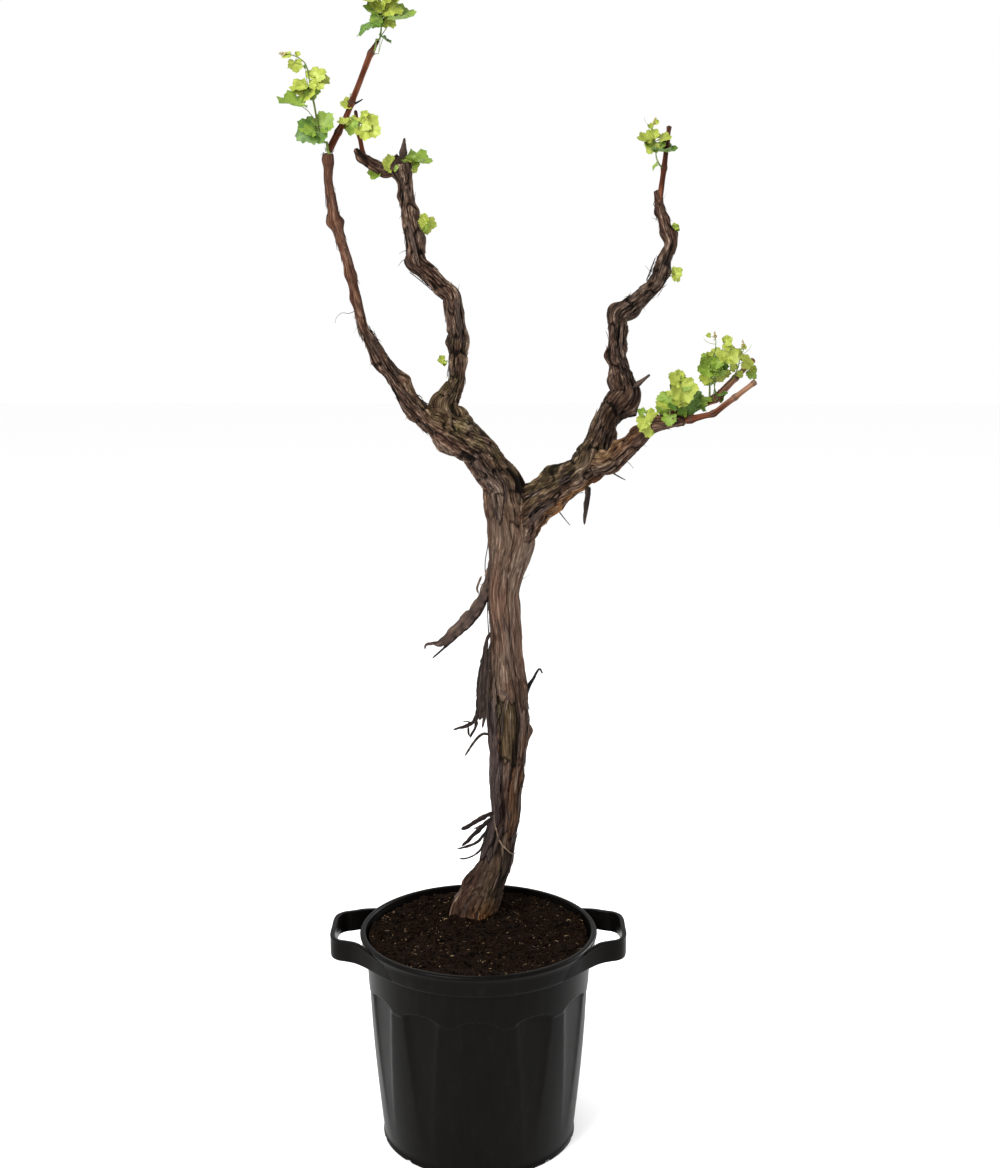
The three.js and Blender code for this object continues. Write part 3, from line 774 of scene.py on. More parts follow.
# larger peels: limb, paleness, then run in mm, angle in degrees and lift in mm down the peel, and its widths
namedPeels = [
    ("trunk", 0.35, [(815, 70, 3), (782, 62, 3), (748, 66, 2), (712, 72, 0.5)], [3, 5, 5, 2]),
    ("trunk", 0.25, [(806, 44, 2.5), (776, 46, 2.5), (742, 50, 0.5)], [3, 5, 2]),
    ("trunk", 0.45, [(494, -44, 1), (478, -38, 4), (462, -33, 5), (440, -36, 3)], [3, 5, 6, 3]),
    ("trunk", 0.35, [(476, -22, 3), (470, -8, 5), (466, 8, 5)], [3, 6, 3]),
    ("trunk", 0.35, [(468, 6, 5), (452, -2, 5), (434, -8, 3)], [3, 5, 2]),
    ("trunk", 0.35, [(452, 36, 1), (420, 38, 3), (385, 34, 3), (348, 30, 1)], [2, 5, 4, 2]),
    ("trunk", 0.1, [(440, 66, 2), (412, 74, 4), (384, 70, 3)], [4, 7, 4]),
    ("trunk", 0.7, [(240, -62, 1), (215, -34, 2), (196, -8, 3), (183, 20, 4), (174, 46, 6), (171, 80, 6)],
     [2.4, 2.8, 2.6, 2.6, 2.4, 1.8]),
    ("trunk", 0.4, [(112, -56, 1), (84, -66, 4), (54, -74, 7), (38, -78, 6)], [4, 9, 10, 5]),
    ("trunk", 0.2, [(96, -26, 1), (66, -34, 3), (42, -38, 3)], [4, 7, 5]),
    ("trunk", 0.0, [(190, 62, 0), (150, 66, 2), (110, 60, 1)], [4, 8, 4]),
    ("trunk", 0.0, [(330, -30, 0), (280, -34, 2), (226, -36, 1)], [3, 6, 3]),
    ("trunk", 0.0, [(660, -84, 2), (610, -88, 3), (560, -84, 2)], [3, 6, 3]),
    ("trunk", 0.0, [(770, -86, 2), (720, -94, 6), (680, -96, 9), (640, -92, 4)], [3, 5, 5, 2]),
    ("boughRight", 0.2, [(40, 20, 1), (72, 12, 3), (110, 16, 1)], [5, 8, 4]),
    ("boughRight", 0.0, [(96, -86, 2), (120, -80, 6), (150, -84, 4)], [4, 8, 3]),
    ("boughRight", 0.4, [(372, 20, 1), (400, 10, 3), (430, 14, 2)], [3, 6, 3]),
    ("boughRight", 0.2, [(520, -80, 1), (545, -70, 4), (570, -74, 6)], [3, 5, 2]),
    ("boughInner", 0.3, [(300, -20, 1), (340, -10, 3), (372, -14, 1)], [4, 7, 4]),
    ("boughInner", 0.1, [(150, 30, 1), (190, 20, 3), (226, 26, 1)], [4, 8, 4]),
    ("boughInner", 0.1, [(250, -90, 1), (286, -96, 4), (306, -100, 7)], [3, 6, 3]),
]


def makeFlakes():
    dice = random.Random(41)
    meshes = []
    for name, groups in flakeLook.items():
        for count, low, high, lengths, widths, lifts in groups:
            for _ in range(count):
                run = dice.uniform(low, high) * mm
                length = dice.uniform(*lengths) * mm
                width = dice.uniform(*widths) * mm
                angle = dice.uniform(-180, 180)
                slant = dice.uniform(-10, 10)
                lift = dice.uniform(*lifts) * mm * (1.6 if dice.random() < 0.18 else 1)
                fromTop = dice.random() < 0.65
                points = []
                for k in range(5):
                    share = k / 4
                    at = run + length * (share - 0.5)
                    free = 1 - share if fromTop else share
                    rise = 0.4 * mm + lift * free ** 2.2
                    points.append(onLimb(name, max(4 * mm, at), angle + slant * share, rise)[0])
                facing = onLimb(name, run, angle)[1]
                meshes.append(ribbonMesh("flake", points, [width * 0.5, width, width * 0.8, width * 0.35],
                                         0.9 * mm, facing, around=6, ripple=-0.06,
                                         seed=dice.randrange(999), step=max(3.0, length / mm / 8),
                                         pale=dice.choice((-0.2, 0, 0, 0.15, 0.4))))
    for name, pale, spots, widths in namedPeels:
        points = [onLimb(name, run * mm, angle, lift * mm)[0] for run, angle, lift in spots]
        facing = onLimb(name, spots[len(spots) // 2][0] * mm, spots[len(spots) // 2][1])[1]
        meshes.append(ribbonMesh("peel", points, [width * mm for width in widths], 1.4 * mm, facing,
                                 around=12, ripple=-0.10, seed=len(meshes), step=2.2, pale=pale))
    return joined("barkFlakes", meshes)


# each hanging strip is a few long slats: the points down each in mm, its widths in mm and how pale it is
hangingStrips = {
    "bark_strip_upper": [
        ([(24, 60, 1000), (21, 60, 986), (15, 57, 954), (5, 55, 922), (-16, 53, 893), (-42, 51, 868),
          (-62, 49, 852), (-74, 48, 846)],
         [5, 10, 13, 16, 19, 18, 14, 8], 0.25),
        ([(20, 60, 976), (11, 57, 940), (-4, 55, 908), (-26, 53, 880), (-50, 51, 857), (-68, 50, 843)],
         [5, 11, 16, 19, 17, 7], 0.1),
        ([(20, 62, 950), (9, 60, 917), (-9, 58, 889), (-30, 56, 867), (-48, 54, 849), (-60, 52, 838)],
         [5, 10, 13, 13, 9, 4], -0.2),
        ([(-44, 49, 852), (-58, 48, 840), (-68, 48, 831), (-77, 47, 823)], [3.5, 4, 3.6, 2.4], -0.35),
        ([(-66, 48, 850), (-78, 47, 849), (-87, 47, 846), (-89, 47, 838)], [6, 5.5, 4.5, 2.5], 0.0),
        ([(6, 57, 962), (1, 56, 950), (-2, 56, 941), (1, 56, 930)], [3, 4, 4, 2], 0.3),
    ],
    "bark_strip_middle": [
        ([(24, 62, 866), (16, 62, 856), (12, 60, 838), (10, 57, 806), (6, 54, 768), (4, 51, 736),
          (2, 49, 716)],
         [5.8, 7.2, 10.2, 11.6, 13, 11.6, 7.2], -0.15),
        ([(22, 62, 850), (17, 60, 826), (15, 57, 790), (12, 54, 752), (10, 51, 722), (7, 49, 708)],
         [4.3, 7.2, 8.7, 10.2, 8.7, 4.3], 0.05),
        ([(12, 64, 840), (5, 60, 806), (1, 57, 770), (-1, 54, 738), (-4, 51, 716)], [4.3, 7.2, 8.7, 8.7, 5.8],
         -0.3),
        ([(0, 49, 728), (-8, 48, 714), (-22, 47, 706), (-34, 46, 703), (-43, 45, 700)],
         [8.7, 7.2, 5.8, 5.2, 3.6], -0.3),
        ([(-12, 47, 712), (-20, 46, 715), (-27, 46, 714)], [2.9, 2.3, 1.7], -0.2),
        ([(-2, 48, 716), (-7, 47, 700), (-12, 46, 692), (-14, 46, 685)], [5.8, 5.2, 4.9, 2.9], -0.3),
        ([(-17, 47, 706), (-17, 46, 696), (-15, 46, 688)], [4.3, 3.8, 2.3], -0.3),
        ([(9, 49, 720), (8, 48, 710), (6, 48, 702)], [4.9, 4.3, 2.3], -0.1),
        ([(18, 52, 690), (9, 50, 692), (0, 48, 687), (-9, 47, 676), (-17, 46, 664), (-23, 46, 654)],
         [4.3, 4.9, 4.6, 4.3, 4.1, 2.9], -0.3),
    ],
    "bark_strip_lower": [
        ([(24, 86, 541), (12, 81, 536), (-8, 74, 527), (-22, 71, 519), (-31, 70, 516)],
         [6.8, 8.8, 8.1, 7.4, 6.1], -0.3),
        ([(22, 84, 532), (8, 78, 520), (-8, 73, 506), (-20, 70, 494), (-30, 68, 486)],
         [5.4, 8.1, 8.8, 8.1, 4.1], -0.35),
        ([(16, 80, 514), (8, 75, 504), (-2, 71, 493), (-20, 68, 486), (-38, 66, 482)],
         [4.1, 5.9, 5.9, 4.9, 3], -0.3),
        ([(14, 80, 506), (9, 74, 492), (2, 70, 478), (-10, 68, 469), (-22, 66, 465), (-35, 66, 464)],
         [3.5, 4.1, 4.1, 3.8, 3.5, 2.4], -0.2),
        ([(18, 83, 526), (2, 77, 519), (-10, 74, 515)], [4.1, 4.6, 2.2], -0.1),
    ],
    "bark_strip_right": [
        ([(177, 5, 1122), (174, 2, 1089), (172, 0, 1056)], [5.4, 6.8, 4.1], -0.1),
        ([(181, 6, 1118), (178, 4, 1092), (173, 2, 1064)], [4.1, 4.9, 2.7], -0.3),
    ],
}


def makeHanging():
    meshes = []
    for number, slats in enumerate(hangingStrips.values()):
        dice = random.Random(number + 3)
        for points, widths, pale in slats:
            placed = [Vector(point) * mm for point in points]
            facing = (dice.uniform(-0.4, 0.4), -1, dice.uniform(-0.1, 0.5))
            meshes.append(ribbonMesh("slat", placed, [width * mm for width in widths], 1.6 * mm, facing,
                                     around=14, ripple=0.14 if max(widths) > 6 else 0.0,
                                     seed=10 * number + len(meshes), step=2.2, pale=pale))
            if max(widths) > 7:  # frayed strands lie along the broad slats
                for _ in range(3):
                    share = dice.uniform(-0.42, 0.42)
                    first = dice.randrange(0, len(placed) - 3)
                    part = [spot + Vector((share * widths[k] * mm, -0.9 * mm, share * widths[k] * mm))
                            for k, spot in enumerate(placed) if k >= first]
                    meshes.append(ribbonMesh("strand", part, [0.8 * mm, 2.0 * mm, 1.6 * mm, 0.8 * mm],
                                             1.1 * mm, facing, around=6, seed=len(meshes), step=3.5,
                                             pale=pale + dice.uniform(-0.2, 0.35)))
    return joined("looseBark", meshes)


# thin fibres and splinters
fibreLook = {  # limb: (how many, run from and to in mm, length range in mm)
    "trunk": [(60, 60, 1200, (6, 24)), (30, 1180, 1560, (4, 12))],
    "boughRight": [(46, 40, 680, (5, 18))],
    "boughInner": [(34, 10, 460, (5, 16))],
    "boughLower": [(18, 10, 190, (5, 16))],
}
# single wisps that catch the eye: limb, run in mm, angle, then (run, lean, swing) steps in mm and degrees,
# and thickness in mm
bigWisps = [
    ("trunk", 452, 80, [(10, 20, 0), (12, 22, 0), (12, 30, 0), (12, 26, 0), (8, 40, 0), (9, 150, 0)], 7.5),
    ("trunk", 462, 84, [(10, 30, 0), (13, 35, 5), (8, 50, 0)], 5.5),
    ("trunk", 440, 84, [(8, 150, 0), (9, 160, 0)], 1.6),
    ("caneLeft", 80, 90, [(8, 66, -10), (8, 62, -10)], 4.0),
    ("trunk", 520, 80, [(9, 20, 0), (10, 30, 0)], 0.8),
    ("trunk", 285, 85, [(8, 40, 0), (14, 28, 0)], 0.8),
    ("trunk", 625, -85, [(12, -70, 0), (10, -100, 0)], 0.9),
    ("trunk", 645, -80, [(14, -80, 0), (6, -60, 0)], 1.0),
    ("trunk", 470, -80, [(12, -95, -10), (12, -135, 0), (14, -150, 0)], 1.5),
    ("trunk", 1205, -80, [(10, -110, 0), (10, -85, 0), (12, -130, 0), (8, -170, 0)], 1.0),
    ("trunk", 1015, -100, [(7, -100, 0), (8, -150, 0)], 0.9),
    ("boughRight", 90, 150, [(14, 138, 0), (24, 142, 0), (14, 140, 0)], 3.0),
    ("boughRight", 200, 140, [(14, 132, 0), (22, 122, 0), (14, 118, 0)], 4.0),
    ("boughRight", 60, 150, [(8, 130, 0), (10, 160, 0)], 1.0),
    ("boughRight", 545, -60, [(8, -60, 0), (10, -40, 0)], 0.9),
    ("boughInner", 318, -100, [(10, -110, 0), (12, -140, 0)], 1.3),
    ("boughInner", 330, -90, [(7, -100, 0), (8, -120, 0)], 1.0),
    ("boughLower", 60, 120, [(8, 120, 0), (12, 140, 0)], 1.2),
]


def curvePiece(name, strands, material, resolution=1):
    # strands: lists of (point, half thickness)
    curve = bpy.data.curves.new(name, "CURVE")
    curve.dimensions = "3D"
    curve.bevel_depth = 1.0
    curve.bevel_resolution = resolution
    curve.use_fill_caps = True
    for strand in strands:
        spline = curve.splines.new("POLY")
        spline.points.add(len(strand) - 1)
        for point, (place, half) in zip(spline.points, strand):
            point.co = (*place, 1)
            point.radius = half
    temporary = bpy.data.objects.new(name + "Curve", curve)
    bpy.context.scene.collection.objects.link(temporary)
    bpy.context.view_layer.update()
    mesh = bpy.data.meshes.new_from_object(temporary.evaluated_get(bpy.context.evaluated_depsgraph_get()))
    bpy.data.objects.remove(temporary)
    mesh.name = name
    mesh.materials.clear()
    return finishPiece(name, mesh, [material])


def makeFibres(material):
    dice = random.Random(17)
    strands = []
    for name, groups in fibreLook.items():
        for count, low, high, lengths in groups:
            for _ in range(count):
                run, angle = dice.uniform(low, high) * mm, dice.uniform(-180, 180)
                spot, out, heading = onLimb(name, run, angle, -0.5 * mm)
                length = dice.uniform(*lengths) * mm
                sign = 1 if dice.random() < 0.6 else -1
                way = (heading * sign + out * dice.uniform(0.15, 0.8)).normalized()
                strand, thick = [], dice.uniform(0.3, 0.7) * mm
                for k in range(5):
                    strand.append((spot.copy(), thick * (1 - 0.8 * k / 4)))
                    stray = Vector((dice.uniform(-1, 1), dice.uniform(-1, 1), dice.uniform(-1, 0.7))) * 0.28
                    way = (way + stray).normalized()
                    spot = spot + way * length / 4
                strands.append(strand)
    for name, run, angle, steps, thick in bigWisps:
        spot, out, _ = onLimb(name, run * mm, angle, -1 * mm)
        points = [spot]
        for length, lean, swing in steps:
            points.append(points[-1] + stepFor(length, lean, swing))
        _, centre, _ = splineThrough(points, [0.001] * len(points), 2 * mm)
        strands.append([(Vector(p), thick / 2 * mm * (1 - 0.65 * k / len(centre)))
                        for k, p in enumerate(centre)])
    return curvePiece("barkFibres", strands, material, 0)


# canes, stubs and buds
caneLook = {
    "nodeSwell": 0.30, "nodeLength": 5.0,  # share of the radius; mm
    "step": 1.8, "cutRound": 0.16,  # mm between rings; the cut end's rounding as a share of the half size
    "nodes": {"caneLeft": [34, 81, 160], "caneRight": [4, 58, 100, 122], "caneLow": [10, 46, 88, 124],
              "caneHigh": [6, 58, 104, 150, 186], "twigLeft": [6, 36, 70], "stubLeft": [16],
              "stubRight": [8, 30]},
}


def caneMesh(name, around=20, seed=1):
    limb = limbs[name]
    total = limb["run"][-1]
    mesh = gridMesh(name, around, int(round(total / (caneLook["step"] * mm))))
    sheet = pointsOf(mesh)
    angle = np.pi * sheet[:, 0]
    run = (sheet[:, 1] + 1) / 2 * total
    half = np.interp(run, limb["run"], limb["half"])
    length = caneLook["nodeLength"] * mm
    swell = sum(np.exp(-(((run - at * mm) / length) ** 2)) for at in caneLook["nodes"][name])
    coord = np.stack([np.cos(angle) * half, np.sin(angle) * half, run], axis=1)
    line = noiseAt(coord / np.array([0.0016, 0.0016, 0.05]), seed)
    lump = noiseAt(coord / np.array([0.006, 0.006, 0.018]), seed + 5)
    radius = half * (1 + caneLook["nodeSwell"] * swell + 0.05 * line + 0.06 * lump)
    cut = np.clip((total - run) / (caneLook["cutRound"] * half), 0, 1)
    radius = radius * np.where(run < 1e-9, 0, 1) * np.sqrt(np.clip(1 - (1 - cut) ** 2, 0, 1))
    middle, out = placesOn(limb, run, angle)
    setPoints(mesh, middle + out * radius[:, None])
    storeValue(mesh, "barkCoord", coord)
    storeValue(mesh, "toneAndShade", np.clip(0.5 + 0.3 * line + 0.2 * lump, 0, 1))
    share = run / total
    greyTip = smoothStep(share, 0.35, 1.0) if name in ("caneLow", "caneHigh") else 0 * share
    storeValue(mesh, "tipShare", greyTip)
    burntTip = (0.3 if name == "caneRight" else 0.05) * smoothStep(share, 0.2, 1.0)
    burnt = np.maximum(smoothStep(swell, 0.5, 1.0) * 0.6, burntTip)
    storeValue(mesh, "burnt", np.ones_like(run) if name.startswith("stub") else burnt)
    weld(mesh)
    return mesh


def caneFinish():
    material, tree, shader = startFinish("caneFinish", 0.75, 0.06)
    field = {key: addNode(tree, "Attribute", {"attribute_name": key})
             for key in ("barkCoord", "toneAndShade", "tipShare", "burnt")}
    coord = field["barkCoord"].outputs["Vector"]
    long = noiseOf(tree, stretched(tree, coord, (700, 700, 22)), 1.0, 4, 0.6)
    depth = weightedSum(tree, weightedSum(tree, long, 0.9, field["toneAndShade"].outputs["Fac"]), 1.0, -0.42)
    red = rampOf(tree, depth, [(0.1, (0.012, 0.004, 0.002)), (0.5, (0.052, 0.014, 0.006)),
                               (0.9, (0.15, 0.050, 0.023))])
    grey = rampOf(tree, depth, [(0.1, (0.045, 0.020, 0.011)), (0.5, (0.19, 0.094, 0.054)),
                                (0.9, (0.40, 0.25, 0.16))])
    colour = mixOf(tree, field["tipShare"].outputs["Fac"], red, grey)
    dark = rampOf(tree, depth, [(0.1, (0.008, 0.006, 0.005)), (0.9, (0.075, 0.05, 0.04))])
    colour = mixOf(tree, field["burnt"].outputs["Fac"], colour, dark)
    tree.links.new(colour, shader.inputs["Base Color"])
    bumpInto(tree, shader, long, 0.4, 0.0006)
    return material


# young leaves
leafLook = {
    # angle, reach, half width
    "lobes": [(0, 1.0, 46), (56, 0.90, 38), (-56, 0.90, 38), (108, 0.74, 36), (-108, 0.74, 36)],
    "least": 0.40, "teeth": 0.045, "segments": 36, "sinus": 0.14,
    "ring": 0.52,  # where the inner ring of points lies
    "wide": 1.50, "long": 1.32,  # a blade's breadth and its whole length for one unit from stalk to tip
    # how far each kind of blade is cupped and folded
    "cuts": [(0.5, 0.10), (-0.5, 0.2), (0.8, 0.30), (0.3, 0.8)],
    "tints": {  # a young green and a darker one, mottled together
        "bright": ((0.30, 0.34, 0.050), (0.21, 0.26, 0.026)),
        "fresh": ((0.17, 0.25, 0.026), (0.11, 0.185, 0.015)),
        "deep": ((0.085, 0.165, 0.015), (0.042, 0.095, 0.009)),
    },
}
budLook = {"count": 26, "wide": 3.2, "long": 9, "least": 0.8, "most": 1.4}  # mm
tendrilLook = {"steps": 9, "step": 2.6, "thick": 0.42, "lean": 75, "swing": -10}  # mm and degrees


def leafTemplate(seed, cup, fold):
    # a lobed, toothed blade one unit long from its stalk, lying along +Y
    dice = random.Random(seed)
    shape = bmesh.new()
    bmesh.ops.create_circle(shape, cap_ends=False, segments=leafLook["segments"], radius=1.0)
    made = bmesh.ops.extrude_edge_only(shape, edges=shape.edges[:])
    inner = [v for v in made["geom"] if isinstance(v, bmesh.types.BMVert)]
    for vert in inner:
        vert.co = vert.co.normalized() * leafLook["ring"]
    bmesh.ops.contextual_create(shape, geom=[e for e in made["geom"] if isinstance(e, bmesh.types.BMEdge)])
    middle = bmesh.ops.poke(shape, faces=[f for f in shape.faces if len(f.verts) > 4])["verts"][0]
    tilt = [dice.uniform(-6, 6) for _ in leafLook["lobes"]]
    veins = []
    for vert in shape.verts:
        far = 0.0 if vert == middle else min(1.0, vert.co.length)
        bearing = math.degrees(math.atan2(vert.co.x, vert.co.y))
        reach = leafLook["least"]
        for (angle, length, half), lean in zip(leafLook["lobes"], tilt):
            off = abs((bearing - angle - lean + 180) % 360 - 180) / half
            reach = max(reach, length * (1 - 0.36 * off ** 1.5))
        notch = max(0.0, 1 - abs(abs(bearing) - 180) / 30)
        reach *= 1 - (1 - leafLook["sinus"]) * notch ** 0.9
        if far > 0.9:
            reach *= 1 + leafLook["teeth"] * (-1) ** round(bearing / (360 / leafLook["segments"]))
        radius, angle = reach * far, math.radians(bearing)
        x, y = math.sin(angle) * radius, math.cos(angle) * radius
        vein = max(math.exp(-(((bearing - a) / 7) ** 2)) for a, _, _ in leafLook["lobes"]) if far else 1.0
        veins.append(vein * (1 - 0.5 * far))
        z = 0.42 * cup * radius * radius + fold * abs(x) - 0.07 * vein * math.sin(math.pi * far)
        wave = 0.07 * math.sin(bearing * 0.11 + seed) * far ** 2
        z += wave + 0.05 * math.cos(math.radians(bearing) * 9) * far ** 3
        z -= 0.22 * max(0.0, y) ** 2.5 * (1 if cup < 0 else 0.5)
        vert.co = Vector((x, y, z))
    mesh = bpy.data.meshes.new("leafTemplate")
    shape.to_mesh(mesh)
    shape.free()
    storeValue(mesh, "vein", np.array(veins))
    return mesh


